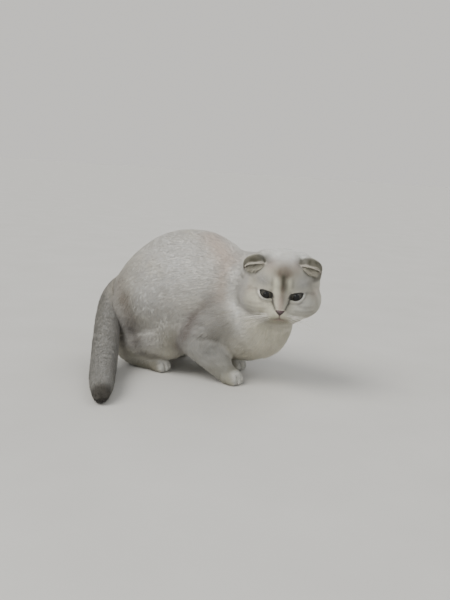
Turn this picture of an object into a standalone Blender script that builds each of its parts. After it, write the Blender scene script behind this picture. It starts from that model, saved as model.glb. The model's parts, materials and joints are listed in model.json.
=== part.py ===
"""A scottish fold cat at life size, crouched with its back arched and its head turned to its right.

The model is a still figure. Its outline is the one the coat gives, out to the tips of the hair.
X runs forward along the body, Y to the cat's left and Z up. The floor is at Z = 0.

The body is modelled whole: rounded masses for the trunk, haunches, shoulders, legs, tail and head are
fused into one skin, which is then parted by thin cuts where the parts of a cat are named.
"""

import math

import bmesh
import bpy
from mathutils import Matrix, Vector

for old in list(bpy.data.objects):
    bpy.data.objects.remove(old)

CM = 0.01  # the sizes below are in centimetres

# Trunk
BACK_HEIGHT = 18.55  # top of the arched back
BELLY_HEIGHT = 2.05  # lowest point of the belly
TRUNK_HALF_WIDTH = 5.9
RUMP_X = -11.9
CHEST_X = 12.7
EGG = 0.14  # how much wider the trunk is low down than high up

# Head, in its own frame: X to the nose, Y to the cat's left, Z to the crown
HEAD_AT = (12.84, -3.1, 12.85)
HEAD_YAW = -70.6  # from the body's forward direction, degrees
HEAD_PITCH = -7.7
HEAD_ROLL = -0.9
HEAD_HALF_WIDTH = 5.1  # across the cheeks
EYE_RADIUS = 1.05
EYE_AT = (2.78, 1.76, 0.02)
EYE_OPEN_WIDTH = 1.78
EYE_OPEN_HEIGHT = 0.98
EYE_SLANT = 12.0  # the outer corner is the higher one, degrees
NOSE_WIDTH = 1.16
NOSE_HEIGHT = 0.72
NOSE_AT = (4.93, 0.0, -1.82)
EAR_AT = (1.3, 3.5, 3.55)
EAR_RADII = (1.22, 1.45, 0.84)

# Legs: where the joints and toes are, and the radii there
FORE_TOES = {"right": (9.15, -4.1), "left": (7.0, 2.6)}
HIND_TOES = {"right": (-0.9, -4.2), "left": (-2.3, 4.4)}
SINK = 0.14  # how far the pads are flattened against the floor
FORE_PAW_WIDTH = 3.2
HIND_PAW_WIDTH = 2.9
TOE_RADIUS = 0.72

# Tail
TAIL_RADIUS = 1.78
TAIL_PATH = (
    (-9.9, 1.3, 11.2),
    (-11.3, -0.4, 9.3),
    (-11.15, -2.4, 7.9),
    (-10.23, -4.6, 6.31),
    (-8.95, -6.9, 4.5),
    (-7.7, -9.2, 2.95),
    (-6.3, -11.7, 1.8),
    (-4.5, -14.9, 1.52),
    (-2.8, -17.7, 1.36),
    (-1.6, -19.8, 1.0),
)
TAIL_RADII = (1.4, 1.5, 1.6, 1.68, 1.78, 1.82, 1.76, 1.66, 1.5, 1.08)
TAIL_CUTS = (0.32, 0.55, 0.78)  # shares of its length where it is parted

# Meshing
VOXEL = 0.24
GAP = 0.04  # between neighbouring pieces
GROOVE = 0.06  # between the tail and the rump
SKIN_TRIANGLES = 2380

COAT_COLOUR = (0.60, 0.565, 0.51, 1.0)
GREY_COLOUR = (0.27, 0.255, 0.235, 1.0)
EYE_COLOUR = (0.05, 0.06, 0.07, 1.0)
NOSE_COLOUR = (0.13, 0.08, 0.08, 1.0)


def material(name, colour, roughness, metallic=0.0):
    made = bpy.data.materials.new(name)
    made.use_nodes = True
    shader = made.node_tree.nodes["Principled BSDF"]
    shader.inputs["Base Color"].default_value = colour
    shader.inputs["Roughness"].default_value = roughness
    shader.inputs["Metallic"].default_value = metallic
    return made


COAT = material("coat", COAT_COLOUR, 0.9)
GREY_COAT = material("grey_coat", GREY_COLOUR, 0.9)
EYE = material("eye", EYE_COLOUR, 0.08)
NOSE = material("nose_leather", NOSE_COLOUR, 0.55)


def add_object(name, mesh, look=None):
    made = bpy.data.objects.new(name, mesh)
    bpy.context.scene.collection.objects.link(made)
    if look is not None:
        mesh.materials.clear()
        mesh.materials.append(look)
    return made


def smooth_path(points, steps):
    """Catmull-Rom curve through the points, with this many steps between neighbours."""
    found = []
    last = len(points) - 1
    for i in range(last):
        a, b, c, d = (
            Vector(points[min(max(j, 0), last)]) for j in (i - 1, i, i + 1, i + 2)
        )
        for s in range(steps):
            t = s / steps
            found.append(
                0.5
                * (
                    2 * b
                    + (c - a) * t
                    + (2 * a - 5 * b + 4 * c - d) * t * t
                    + (3 * b - a - 3 * c + d) * t**3
                )
            )
    found.append(Vector(points[last]))
    return found


def ease(values, steps):
    """The same curve for a row of plain numbers."""
    return [p.x for p in smooth_path([(v, 0.0, 0.0) for v in values], steps)]


def add_rings(work, rings):
    """Bridges closed rings of points into a tube and closes both its ends."""
    loops = [[work.verts.new(Vector(p) * CM) for p in ring] for ring in rings]
    count = len(loops[0])
    for low, high in zip(loops, loops[1:]):
        for i in range(count):
            j = (i + 1) % count
            work.faces.new((low[i], low[j], high[j], high[i]))
    for loop, turned in ((loops[0], True), (loops[-1], False)):
        work.faces.new(loop[::-1] if turned else loop)


def add_limb(work, points, radii, flat=1.0, steps=4, sides=24, frame=None):
    """A tube with rounded ends along a smooth path. flat is its height as a share of its width."""
    path = smooth_path(points, steps)
    sizes = ease(radii, steps)
    rings = []
    across_before = None
    for i, (centre, size) in enumerate(zip(path, sizes)):
        along = (path[min(i + 1, len(path) - 1)] - path[max(i - 1, 0)]).normalized()
        across = along.cross(Vector((0, 0, 1)))
        if across.length < 0.05:
            across = across_before or Vector((0, 1, 0))
        across.normalize()
        if across_before is not None and across.dot(across_before) < 0:
            across = -across
        across_before = across
        over = across.cross(along).normalized()
        ends = []
        if i == 0:
            ends = [(-math.sin(a), math.cos(a)) for a in (1.45, 1.1, 0.7, 0.35)]
        ring_at = [(0.0, 1.0)]
        if i == len(path) - 1:
            ring_at = [(0.0, 1.0)] + [
                (math.sin(a), math.cos(a)) for a in (0.35, 0.7, 1.1, 1.45)
            ]
        for ahead, share in ends + ring_at:
            ring = []
            for k in range(sides):
                a = 2 * math.pi * k / sides
                ring.append(
                    centre
                    + along * (ahead * size)
                    + across * (math.cos(a) * size * share)
                    + over * (math.sin(a) * size * share * flat)
                )
            rings.append(ring)
    if frame is not None:
        rings = [[frame @ p for p in ring] for ring in rings]
    add_rings(work, rings)


def add_blob(work, centre, radii, turn=(0.0, 0.0, 0.0), frame=None, sides=32):
    """An ellipsoid. turn is in degrees about X, Y and Z."""
    place = Matrix.Translation(Vector(centre))
    for axis, angle in zip("XYZ", turn):
        place = place @ Matrix.Rotation(math.radians(angle), 4, axis)
    place = place @ Matrix.Diagonal((*radii, 1.0))
    if frame is not None:
        place = frame @ place
    bmesh.ops.create_uvsphere(
        work,
        u_segments=sides,
        v_segments=sides * 5 // 8,
        radius=1.0,
        matrix=Matrix.Scale(CM, 4) @ place,
    )


def head_frame():
    return (
        Matrix.Translation(Vector(HEAD_AT))
        @ Matrix.Rotation(math.radians(HEAD_YAW), 4, "Z")
        @ Matrix.Rotation(math.radians(-HEAD_PITCH), 4, "Y")
        @ Matrix.Rotation(math.radians(HEAD_ROLL), 4, "X")
    )


HEAD = head_frame()


def add_trunk(work):
    """Egg-shaped sections from the rump to the chest, under the arch of the back."""
    top = BACK_HEIGHT
    low = BELLY_HEIGHT
    wide = TRUNK_HALF_WIDTH
    #  share of the length, height of the back, height of the belly, half width
    sections = (
        (0.000, top * 0.545, top * 0.47, wide * 0.12),
        (0.030, top * 0.625, top * 0.34, wide * 0.40),
        (0.090, top * 0.735, top * 0.225, wide * 0.66),
        (0.180, top * 0.855, low * 1.35, wide * 0.86),
        (0.300, top * 0.955, low * 1.05, wide * 0.98),
        (0.420, top * 0.997, low * 1.00, wide * 1.00),
        (0.530, top * 1.000, low * 1.05, wide * 0.97),
        (0.640, top * 0.962, low * 1.08, wide * 0.92),
        (0.760, top * 0.865, low * 1.08, wide * 0.87),
        (0.880, top * 0.725, low * 1.30, wide * 0.78),
        (0.960, top * 0.580, low * 2.05, wide * 0.55),
        (1.000, top * 0.470, low * 3.10, wide * 0.18),
    )
    columns = [ease([s[k] for s in sections], 3) for k in range(4)]
    rings = []
    for share, high, deep, half in zip(*columns):
        x = RUMP_X + (CHEST_X - RUMP_X) * share
        ring = []
        for k in range(40):
            a = 2 * math.pi * k / 40
            rise = math.sin(a)
            ring.append(
                (
                    x,
                    half * math.cos(a) * (1 - EGG * rise),
                    (high + deep) / 2 + (high - deep) / 2 * rise,
                )
            )
        rings.append(ring)
    add_rings(work, rings)


def add_foreleg(work, side):
    sign = -1 if side == "right" else 1
    x, y = FORE_TOES[side]
    # shoulder blade and upper arm
    add_blob(work, (x - 3.6, sign * 3.3, 10.4), (3.2, 2.1, 4.7), (0, 18, 0))
    add_limb(
        work,
        [(x - 2.6, sign * 3.7, 8.6), (x - 5.2, sign * 4.2, 6.6), (x - 6.5, y + sign * 0.75, 5.2)],
        [2.6, 2.6, 2.3],
    )
    # forearm and wrist
    add_limb(
        work,
        [
            (x - 6.3, y + sign * 0.7, 5.3),
            (x - 4.9, y + sign * 0.5, 4.1),
            (x - 3.5, y + sign * 0.2, 2.6),
            (x - 2.4, y, 1.4),
        ],
        [2.35, 2.25, 1.85, 1.35],
    )
    add_paw(work, (x, y), 0.0, FORE_PAW_WIDTH, 2.7)


def add_paw(work, toes, turn, width, length):
    """A paw with its four toes. toes is where the middle of their front is."""
    x, y = toes
    frame = Matrix.Translation(Vector((x, y, 0.0))) @ Matrix.Rotation(
        math.radians(turn), 4, "Z"
    )
    half = width / 2
    add_blob(work, (-length * 0.62, 0, 0.95), (length * 0.62, half * 0.95, 1.12), frame=frame)
    for k, (across, back) in enumerate(((-0.66, 0.95), (-0.23, 0.66), (0.23, 0.66), (0.66, 0.95))):
        size = TOE_RADIUS * (0.98 if k in (1, 2) else 0.92)
        add_limb(
            work,
            [(-back - 1.0, across * half * 0.86, 0.92), (-back, across * half * 1.02, 0.66)],
            [size * 1.02, size],
            flat=0.96,
            sides=16,
            frame=frame,
        )


def add_hindleg(work, side):
    sign = -1 if side == "right" else 1
    x, y = HIND_TOES[side]
    # haunch, knee and shank
    knee = x + (0.0 if side == "right" else 0.6)
    add_blob(work, (-5.1, sign * 3.3, 7.5), (5.3, 2.9, 5.7), (0, 20, 0))
    add_blob(work, (knee, sign * 4.3, 5.2), (3.2, 2.2, 3.3), (0, 30, 0))
    add_limb(
        work,
        [(x - 0.6, sign * 4.6, 4.4), (x - 3.6, sign * 4.5, 3.6), (x - 6.3, sign * 4.3, 3.0)],
        [2.35, 2.2, 1.5],
    )
    # hock and foot
    add_limb(
        work,
        [
            (x - 6.8, y, 1.95),
            (x - 5.0, y, 1.15),
            (x - 2.2, y, 0.98),
        ],
        [1.2, 1.15, 1.15],
    )
    add_paw(work, (x, y), 0.0, HIND_PAW_WIDTH, 2.7)


def add_neck(work):
    add_limb(
        work,
        [(5.4, 0.0, 11.4), (8.2, -0.7, 12.0), (11.3, -2.0, 12.5)],
        [5.0, 4.6, 4.3],
        sides=32,
    )
    # the bib under the throat
    add_blob(work, (10.2, -1.3, 8.0), (3.7, 4.3, 4.7), (0, 0, -20))


def add_head(work):
    wide = HEAD_HALF_WIDTH
    add_blob(work, (-0.55, 0, 0.75), (4.35, wide * 0.945, 4.0), frame=HEAD)
    add_blob(work, (1.35, 0, 0.95), (3.15, 3.5, 3.25), frame=HEAD)
    for sign in (-1, 1):
        add_blob(
            work,
            (0.35, sign * (wide - 2.75), -1.15),
            (3.1, 2.75, 2.7),
            (0, 0, sign * 12),
            frame=HEAD,
        )
        # brow over each eye and the cushion of the cheek under it
        add_blob(work, (2.5, sign * 1.75, 1.15), (1.3, 1.3, 0.95), frame=HEAD)
        add_blob(work, (2.55, sign * 2.0, -1.5), (1.5, 1.6, 1.3), frame=HEAD)
        # whisker pads
        add_blob(
            work, (3.72, sign * 0.76, -2.42), (1.2, 1.0, 0.92), (0, 0, sign * 14), frame=HEAD
        )
    add_limb(
        work,
        [(2.5, 0, 1.6), (3.45, 0, 0.35), (4.15, 0, -0.95), (4.32, 0, -1.8)],
        [1.35, 1.0, 0.78, 0.62],
        sides=20,
        frame=HEAD,
    )
    add_blob(work, (2.9, 0, -2.4), (1.9, 2.2, 1.4), frame=HEAD)
    add_blob(work, (3.3, 0, -3.3), (1.0, 1.05, 0.72), frame=HEAD)
    add_blob(work, (0.4, 0, -2.3), (3.3, 3.6, 2.3), frame=HEAD)


def add_ear(work, sign, grown=0.0):
    """A small fold ear: a cap bent forward and down over its own opening."""
    x, y, z = EAR_AT
    radii = [r + grown for r in EAR_RADII]
    add_blob(work, (x, sign * y, z), radii, (sign * -32, 31, sign * 2), frame=HEAD, sides=14)


def add_eye(work, sign, grown=0.0):
    x, y, z = EYE_AT
    bmesh.ops.create_uvsphere(
        work,
        u_segments=14,
        v_segments=8,
        radius=1.0,
        matrix=Matrix.Scale(CM, 4)
        @ HEAD
        @ Matrix.Translation(Vector((x, sign * y, z)))
        @ Matrix.Rotation(math.radians(90), 4, "Y")
        @ Matrix.Scale(EYE_RADIUS + grown, 4),
    )


def add_lids_opening(work, sign):
    """The almond between the lids, cut into the face in front of the eye."""
    x, y, z = EYE_AT
    add_blob(
        work,
        (x + 1.15, sign * y, z),
        (1.1, EYE_OPEN_WIDTH / 2, EYE_OPEN_HEIGHT / 2),
        (sign * EYE_SLANT, 0, 0),
        frame=HEAD,
        sides=14,
    )


def add_nose(work, grown=0.0):
    """The nose leather: a rounded triangle, wide at the top."""
    x, y, z = NOSE_AT
    half = NOSE_WIDTH / 2 + grown
    tall = NOSE_HEIGHT / 2 + grown
    thick = 0.34 + grown
    outline = ((-1.0, 0.55), (-0.62, 1.0), (0.62, 1.0), (1.0, 0.55), (0.3, -0.75), (0.0, -1.0), (-0.3, -0.75))
    rings = []
    for ahead, share in ((-1.0, 0.86), (-0.3, 1.0), (0.45, 0.86), (0.95, 0.45)):
        rings.append(
            [
                HEAD @ Vector((x - 0.34 + ahead * thick, a * half * share, z + b * tall * share))
                for a, b in outline
            ]
        )
    add_rings(work, rings)


def new_mesh(name, adders):
    """One mesh from closed masses that may overlap."""
    work = bmesh.new()
    for add in adders:
        add(work)
    bmesh.ops.recalc_face_normals(work, faces=work.faces)
    mesh = bpy.data.meshes.new(name)
    work.to_mesh(mesh)
    work.free()
    return mesh


def evaluated_mesh(source):
    """The object's mesh with its modifiers applied."""
    bpy.context.view_layer.update()
    graph = bpy.context.evaluated_depsgraph_get()
    return bpy.data.meshes.new_from_object(source.evaluated_get(graph))


def fused(name, meshes, smoothing):
    """Turns overlapping masses into one smooth skin."""
    work = bmesh.new()
    for mesh in meshes:
        work.from_mesh(mesh)
    joined = bpy.data.meshes.new(name)
    work.to_mesh(joined)
    work.free()
    made = add_object(name, joined)
    remesh = made.modifiers.new("fuse", "REMESH")
    remesh.mode = "VOXEL"
    remesh.voxel_size = VOXEL * CM
    soften = made.modifiers.new("soften", "SMOOTH")
    soften.factor = 0.5
    soften.iterations = smoothing
    mesh = evaluated_mesh(made)
    bpy.data.objects.remove(made)
    return mesh


def thinned(mesh, triangles):
    """The same skin with fewer triangles."""
    made = add_object("thinning", mesh)
    thin = made.modifiers.new("thin", "DECIMATE")
    thin.ratio = triangles / (2 * len(mesh.polygons))
    found = evaluated_mesh(made)
    bpy.data.objects.remove(made)
    return found


def combined(first, second, operation):
    """Boolean of two meshes, by the exact solver."""
    made = add_object("first", first)
    other = add_object("second", second)
    mix = made.modifiers.new("mix", "BOOLEAN")
    mix.solver = "EXACT"
    mix.operation = operation
    mix.object = other
    found = evaluated_mesh(made)
    bpy.data.objects.remove(made)
    bpy.data.objects.remove(other)
    return found


def box(low, high, frame=Matrix.Identity(4), grown=0.0):
    low = [v - grown for v in low]
    high = [v + grown for v in high]
    centre = Vector([(a + b) / 2 for a, b in zip(low, high)])
    size = [b - a for a, b in zip(low, high)]
    return new_mesh(
        "box",
        [
            lambda w: bmesh.ops.create_cube(
                w,
                size=1.0,
                matrix=Matrix.Scale(CM, 4)
                @ frame
                @ Matrix.Translation(centre)
                @ Matrix.Diagonal((*size, 1.0)),
            )
        ],
    )


def ellipsoid(centre, radii, turn=(0, 0, 0), grown=0.0, frame=None):
    return new_mesh(
        "cell", [lambda w: add_blob(w, centre, [r + grown for r in radii], turn, frame, 12)]
    )


def tube(low, high, radius, grown=0.0):
    return new_mesh(
        "cell", [lambda w: add_limb(w, [low, high], [radius + grown] * 2, steps=1, sides=16)]
    )


def parted(rest, cell):
    """Takes the part of a skin inside a cell away from the rest, with a thin gap between the two."""
    inside = combined(rest.copy(), cell(0.0), "INTERSECT")
    outside = combined(rest, cell(GAP), "DIFFERENCE")
    return inside, outside


def tilted(point, yaw=0.0, pitch=0.0, base=Matrix.Identity(4)):
    """A frame at a point, turned about Z and then about its own Y."""
    return (
        base
        @ Matrix.Translation(Vector(point))
        @ Matrix.Rotation(math.radians(yaw), 4, "Z")
        @ Matrix.Rotation(math.radians(pitch), 4, "Y")
    )


def add_tail(work, grown=0.0):
    add_limb(work, TAIL_PATH, [r + grown for r in TAIL_RADII], steps=3, sides=14)


# The whole skin, one smooth mass with its paws and head kept crisp
trunk = fused(
    "trunk_masses",
    [
        new_mesh(
            "masses",
            [
                add_trunk,
                add_neck,
                lambda w: add_foreleg(w, "right"),
                lambda w: add_foreleg(w, "left"),
                lambda w: add_hindleg(w, "right"),
                lambda w: add_hindleg(w, "left"),
            ],
        )
    ],
    14,
)
paws = new_mesh(
    "paw_masses",
    [
        lambda w: add_paw(w, FORE_TOES["right"], 0.0, FORE_PAW_WIDTH, 2.7),
        lambda w: add_paw(w, FORE_TOES["left"], 0.0, FORE_PAW_WIDTH, 2.7),
        lambda w: add_paw(w, HIND_TOES["right"], 0.0, HIND_PAW_WIDTH, 2.7),
        lambda w: add_paw(w, HIND_TOES["left"], 0.0, HIND_PAW_WIDTH, 2.7),
    ],
)
face = fused("head_masses", [new_mesh("face", [add_head])], 4)
whole = thinned(fused("whole", [trunk, paws, face], 3), SKIN_TRIANGLES)
whole.transform(Matrix.Translation((0, 0, -SINK * CM)))
floor_box = lambda: box((-40, -40, -5), (40, 40, 0))
whole = combined(whole, floor_box(), "DIFFERENCE")

# The tail lies in a shallow groove of the rump and thigh
tail = new_mesh("tail", [add_tail])
tail = combined(tail, floor_box(), "DIFFERENCE")
whole = combined(whole, new_mesh("groove", [lambda w: add_tail(w, GROOVE)]), "DIFFERENCE")

pieces = {}

# Ears, eyes and nose sit in pockets of the head
for side, sign in (("right", -1), ("left", 1)):
    pieces["ear_" + side] = (new_mesh("ear", [lambda w: add_ear(w, sign)]), GREY_COAT)
    whole = combined(whole, new_mesh("pocket", [lambda w: add_ear(w, sign, GAP)]), "DIFFERENCE")
    pieces["eye_" + side] = (new_mesh("eye", [lambda w: add_eye(w, sign)]), EYE)
    whole = combined(whole, new_mesh("socket", [lambda w: add_eye(w, sign, GAP)]), "DIFFERENCE")
    whole = combined(whole, new_mesh("lids", [lambda w: add_lids_opening(w, sign)]), "DIFFERENCE")
pieces["nose"] = (new_mesh("nose", [add_nose]), NOSE)
whole = combined(whole, new_mesh("pocket", [lambda w: add_nose(w, GAP)]), "DIFFERENCE")

# Head, neck, trunk and legs
CELLS = {
    "head": lambda g: ellipsoid((1.2, 0, 0.3), (5.0, 5.85, 5.3), (0, 0, 0), g, HEAD),
    "neck": lambda g: box((0, -9, -3.4), (14, 9, 9), tilted((7.2, 0, 12.0), -18.0, -24.0), g),
    "foreleg_right": lambda g: tube((9.4, -4.1, -1.0), (3.4, -5.0, 5.0), 2.75, g),
    "foreleg_left": lambda g: tube((7.2, 2.7, -1.0), (1.3, 3.7, 5.0), 2.75, g),
    "hind_foot_right": lambda g: box((-9.9, -6.6, -1), (1.2, -2.3, 1.75), grown=g),
    "hind_foot_left": lambda g: box((-11.7, 2.4, -1), (-0.2, 6.9, 1.75), grown=g),
    "thigh_right": lambda g: ellipsoid((-4.4, -6.0, 6.2), (6.4, 3.6, 6.4), (0, 12, 0), g),
    "thigh_left": lambda g: ellipsoid((-5.2, 6.1, 6.2), (6.2, 3.6, 6.4), (0, 12, 0), g),
    "shoulder_right": lambda g: ellipsoid((5.0, -6.4, 9.2), (4.3, 3.7, 5.4), (0, 18, 0), g),
    "shoulder_left": lambda g: ellipsoid((3.0, 6.4, 9.2), (4.3, 3.7, 5.4), (0, 18, 0), g),
    "rump": lambda g: box((-20, -15, -5), (-5.6, 15, 25), grown=g),
    "chest": lambda g: box((2.9, -15, -5), (20, 15, 25), grown=g),
}
for name, cell in CELLS.items():
    inside, whole = parted(whole, cell)
    pieces[name] = (inside, COAT)
pieces["belly"] = (whole, COAT)

# Each fore paw is parted from its foreleg at the wrist
for side in ("right", "left"):
    x, y = FORE_TOES[side]
    paw, leg = parted(
        pieces["foreleg_" + side][0],
        lambda g: box((-2.7, -4, -4), (4, 4, 2.9), tilted((x, y, 0.0), 0.0, -14.0), g),
    )
    pieces["fore_paw_" + side] = (paw, COAT)
    pieces["foreleg_" + side] = (leg, COAT)

# The tail in four lengths
points = smooth_path(TAIL_PATH, 24)
lengths = [0.0]
for a, b in zip(points, points[1:]):
    lengths.append(lengths[-1] + (b - a).length)
for k, share in enumerate(TAIL_CUTS[::-1]):
    at = min(range(len(points)), key=lambda i: abs(lengths[i] - share * lengths[-1]))
    along = (points[at + 1] - points[at - 1]).normalized()
    frame = Matrix.Translation(points[at]) @ along.to_track_quat("X", "Z").to_matrix().to_4x4()
    inside, tail = parted(tail, lambda g: box((0, -9, -9), (30, 9, 9), frame, g))
    pieces["tail_%d" % (len(TAIL_CUTS) + 1 - k)] = (inside, GREY_COAT)
pieces["tail_1"] = (tail, GREY_COAT)


def tidy(mesh):
    work = bmesh.new()
    work.from_mesh(mesh)
    bmesh.ops.dissolve_degenerate(work, dist=0.00005, edges=work.edges)
    bmesh.ops.dissolve_limit(
        work, angle_limit=math.radians(1.0), verts=work.verts, edges=work.edges
    )
    bmesh.ops.triangulate(work, faces=work.faces)
    bmesh.ops.recalc_face_normals(work, faces=work.faces)
    work.to_mesh(mesh)
    work.free()


# The model is centred over the origin, standing on the floor
bpy.context.view_layer.update()
corners = [v.co for mesh, _ in pieces.values() for v in mesh.vertices]
middle = [(min(c[k] for c in corners) + max(c[k] for c in corners)) / 2 for k in (0, 1)]
lowest = min(c.z for c in corners)
shift = Matrix.Translation((-middle[0], -middle[1], -lowest))
for name, (mesh, look) in pieces.items():
    tidy(mesh)
    mesh.transform(shift)
    mesh.name = name
    made = add_object(name, mesh, look)
    for polygon in mesh.polygons:
        polygon.use_smooth = True
for mesh in list(bpy.data.meshes):
    if mesh.users == 0:
        bpy.data.meshes.remove(mesh)
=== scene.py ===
"""A scottish fold cat at life size, crouched with its back arched and its head turned to its right.

The sizes below are in centimetres, in the cat's own frame: X forward along the body, Y to the cat's
left, Z up, and the floor at Z = 0. SHIFT carries that frame to the model's.
"""

import math

import json

import bmesh
import bpy
import numpy as np
from mathutils import Matrix, Vector
from mathutils.bvhtree import BVHTree
from mathutils.kdtree import KDTree

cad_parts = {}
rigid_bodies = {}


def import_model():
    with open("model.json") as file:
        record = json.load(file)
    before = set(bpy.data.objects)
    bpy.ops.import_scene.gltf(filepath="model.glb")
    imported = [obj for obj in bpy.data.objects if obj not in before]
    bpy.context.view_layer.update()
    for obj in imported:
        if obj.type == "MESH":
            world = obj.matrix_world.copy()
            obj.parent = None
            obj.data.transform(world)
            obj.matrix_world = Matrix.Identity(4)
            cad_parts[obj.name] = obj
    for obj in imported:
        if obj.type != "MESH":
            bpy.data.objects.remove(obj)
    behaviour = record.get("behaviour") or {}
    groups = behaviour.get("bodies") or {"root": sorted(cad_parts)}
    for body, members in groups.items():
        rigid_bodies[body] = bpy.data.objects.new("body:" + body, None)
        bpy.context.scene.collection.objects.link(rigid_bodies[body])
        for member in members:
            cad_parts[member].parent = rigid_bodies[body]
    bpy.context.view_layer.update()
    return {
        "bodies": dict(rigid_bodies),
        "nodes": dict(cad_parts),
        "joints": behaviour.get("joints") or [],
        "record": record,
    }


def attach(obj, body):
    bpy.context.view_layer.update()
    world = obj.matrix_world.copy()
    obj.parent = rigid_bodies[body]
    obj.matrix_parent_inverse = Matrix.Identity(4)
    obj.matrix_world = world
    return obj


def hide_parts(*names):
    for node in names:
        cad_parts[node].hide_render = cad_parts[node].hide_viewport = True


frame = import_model()

CM = 0.01
SHIFT = np.array((-2.477, 6.984, 0.0))

# ---------------------------------------------------------------- the body's masses
BACK_HEIGHT = 18.55
BELLY_HEIGHT = 2.05
TRUNK_HALF_WIDTH = 5.9
RUMP_X = -11.9
CHEST_X = 12.7
EGG = 0.14

HEAD_AT = (12.84, -3.1, 12.85)
HEAD_YAW = -70.6
HEAD_PITCH = -7.7
HEAD_ROLL = -0.9
HEAD_HALF_WIDTH = 5.1
EYE_RADIUS = 1.05
EYE_AT = (2.78, 1.76, 0.02)
EYE_OPEN_WIDTH = 1.6
EYE_SLANT = 23.5
NOSE_AT = (4.93, 0.0, -1.82)
NOSE_WIDTH = 1.2
EAR_AT = (1.5, 3.5, 3.7)
GAZE_UP = -7.0  # degrees the cat looks above its head's level

FORE_TOES = {"right": (9.15, -4.1), "left": (7.0, 2.6)}
HIND_TOES = {"right": (-0.9, -4.2), "left": (-2.3, 4.4)}
SINK = 0.14
FORE_PAW_WIDTH = 3.2
HIND_PAW_WIDTH = 2.9
TOE_RADIUS = 0.72

TAIL_PATH = (
    (-9.9, 1.3, 11.2),
    (-11.3, -0.4, 9.3),
    (-11.15, -2.4, 7.9),
    (-10.23, -4.6, 6.31),
    (-8.95, -6.9, 4.5),
    (-7.7, -9.2, 2.95),
    (-6.3, -11.7, 1.8),
    (-4.5, -14.9, 1.52),
    (-2.8, -17.7, 1.36),
    (-1.6, -19.8, 1.0),
)
TAIL_RADII = (1.4, 1.5, 1.6, 1.68, 1.78, 1.82, 1.76, 1.66, 1.5, 1.08)
TAIL_COAT = 0.36  # depth of the tail's hair


def smooth_path(points, steps):
    found = []
    last = len(points) - 1
    for i in range(last):
        a, b, c, d = (
            Vector(points[min(max(j, 0), last)]) for j in (i - 1, i, i + 1, i + 2)
        )
        for s in range(steps):
            t = s / steps
            found.append(
                0.5
                * (
                    2 * b
                    + (c - a) * t
                    + (2 * a - 5 * b + 4 * c - d) * t * t
                    + (3 * b - a - 3 * c + d) * t**3
                )
            )
    found.append(Vector(points[last]))
    return found


def ease(values, steps):
    return [p.x for p in smooth_path([(v, 0.0, 0.0) for v in values], steps)]


def add_rings(work, rings):
    loops = [[work.verts.new(Vector(p) * CM) for p in ring] for ring in rings]
    count = len(loops[0])
    for low, high in zip(loops, loops[1:]):
        for i in range(count):
            j = (i + 1) % count
            work.faces.new((low[i], low[j], high[j], high[i]))
    for loop, turned in ((loops[0], True), (loops[-1], False)):
        work.faces.new(loop[::-1] if turned else loop)


def add_limb(work, points, radii, flat=1.0, steps=6, sides=32, frame=None):
    path = smooth_path(points, steps)
    sizes = ease(radii, steps)
    rings = []
    across_before = None
    for i, (centre, size) in enumerate(zip(path, sizes)):
        along = (path[min(i + 1, len(path) - 1)] - path[max(i - 1, 0)]).normalized()
        across = along.cross(Vector((0, 0, 1)))
        if across.length < 0.05:
            across = across_before or Vector((0, 1, 0))
        across.normalize()
        if across_before is not None and across.dot(across_before) < 0:
            across = -across
        across_before = across
        over = across.cross(along).normalized()
        ends = []
        if i == 0:
            ends = [(-math.sin(a), math.cos(a)) for a in (1.45, 1.1, 0.7, 0.35)]
        ring_at = [(0.0, 1.0)]
        if i == len(path) - 1:
            ring_at = [(0.0, 1.0)] + [
                (math.sin(a), math.cos(a)) for a in (0.35, 0.7, 1.1, 1.45)
            ]
        for ahead, share in ends + ring_at:
            ring = []
            for k in range(sides):
                a = 2 * math.pi * k / sides
                ring.append(
                    centre
                    + along * (ahead * size)
                    + across * (math.cos(a) * size * share)
                    + over * (math.sin(a) * size * share * flat)
                )
            rings.append(ring)
    if frame is not None:
        rings = [[frame @ p for p in ring] for ring in rings]
    add_rings(work, rings)


def add_blob(work, centre, radii, turn=(0.0, 0.0, 0.0), frame=None, sides=48):
    place = Matrix.Translation(Vector(centre))
    for axis, angle in zip("XYZ", turn):
        place = place @ Matrix.Rotation(math.radians(angle), 4, axis)
    place = place @ Matrix.Diagonal((*radii, 1.0))
    if frame is not None:
        place = frame @ place
    bmesh.ops.create_uvsphere(
        work,
        u_segments=sides,
        v_segments=sides * 5 // 8,
        radius=1.0,
        matrix=Matrix.Scale(CM, 4) @ place,
    )


HEAD = (
    Matrix.Translation(Vector(HEAD_AT))
    @ Matrix.Rotation(math.radians(HEAD_YAW), 4, "Z")
    @ Matrix.Rotation(math.radians(-HEAD_PITCH), 4, "Y")
    @ Matrix.Rotation(math.radians(HEAD_ROLL), 4, "X")
)
HEAD_AXES = np.array(HEAD.to_3x3())
HEAD_ORIGIN = np.array(HEAD_AT)


def to_head(p):
    """Points from the cat's frame to the head's: X to the nose, Y to the cat's left, Z to the crown."""
    return (np.asarray(p) - HEAD_ORIGIN) @ HEAD_AXES


def from_head(p):
    return np.asarray(p) @ HEAD_AXES.T + HEAD_ORIGIN


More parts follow.
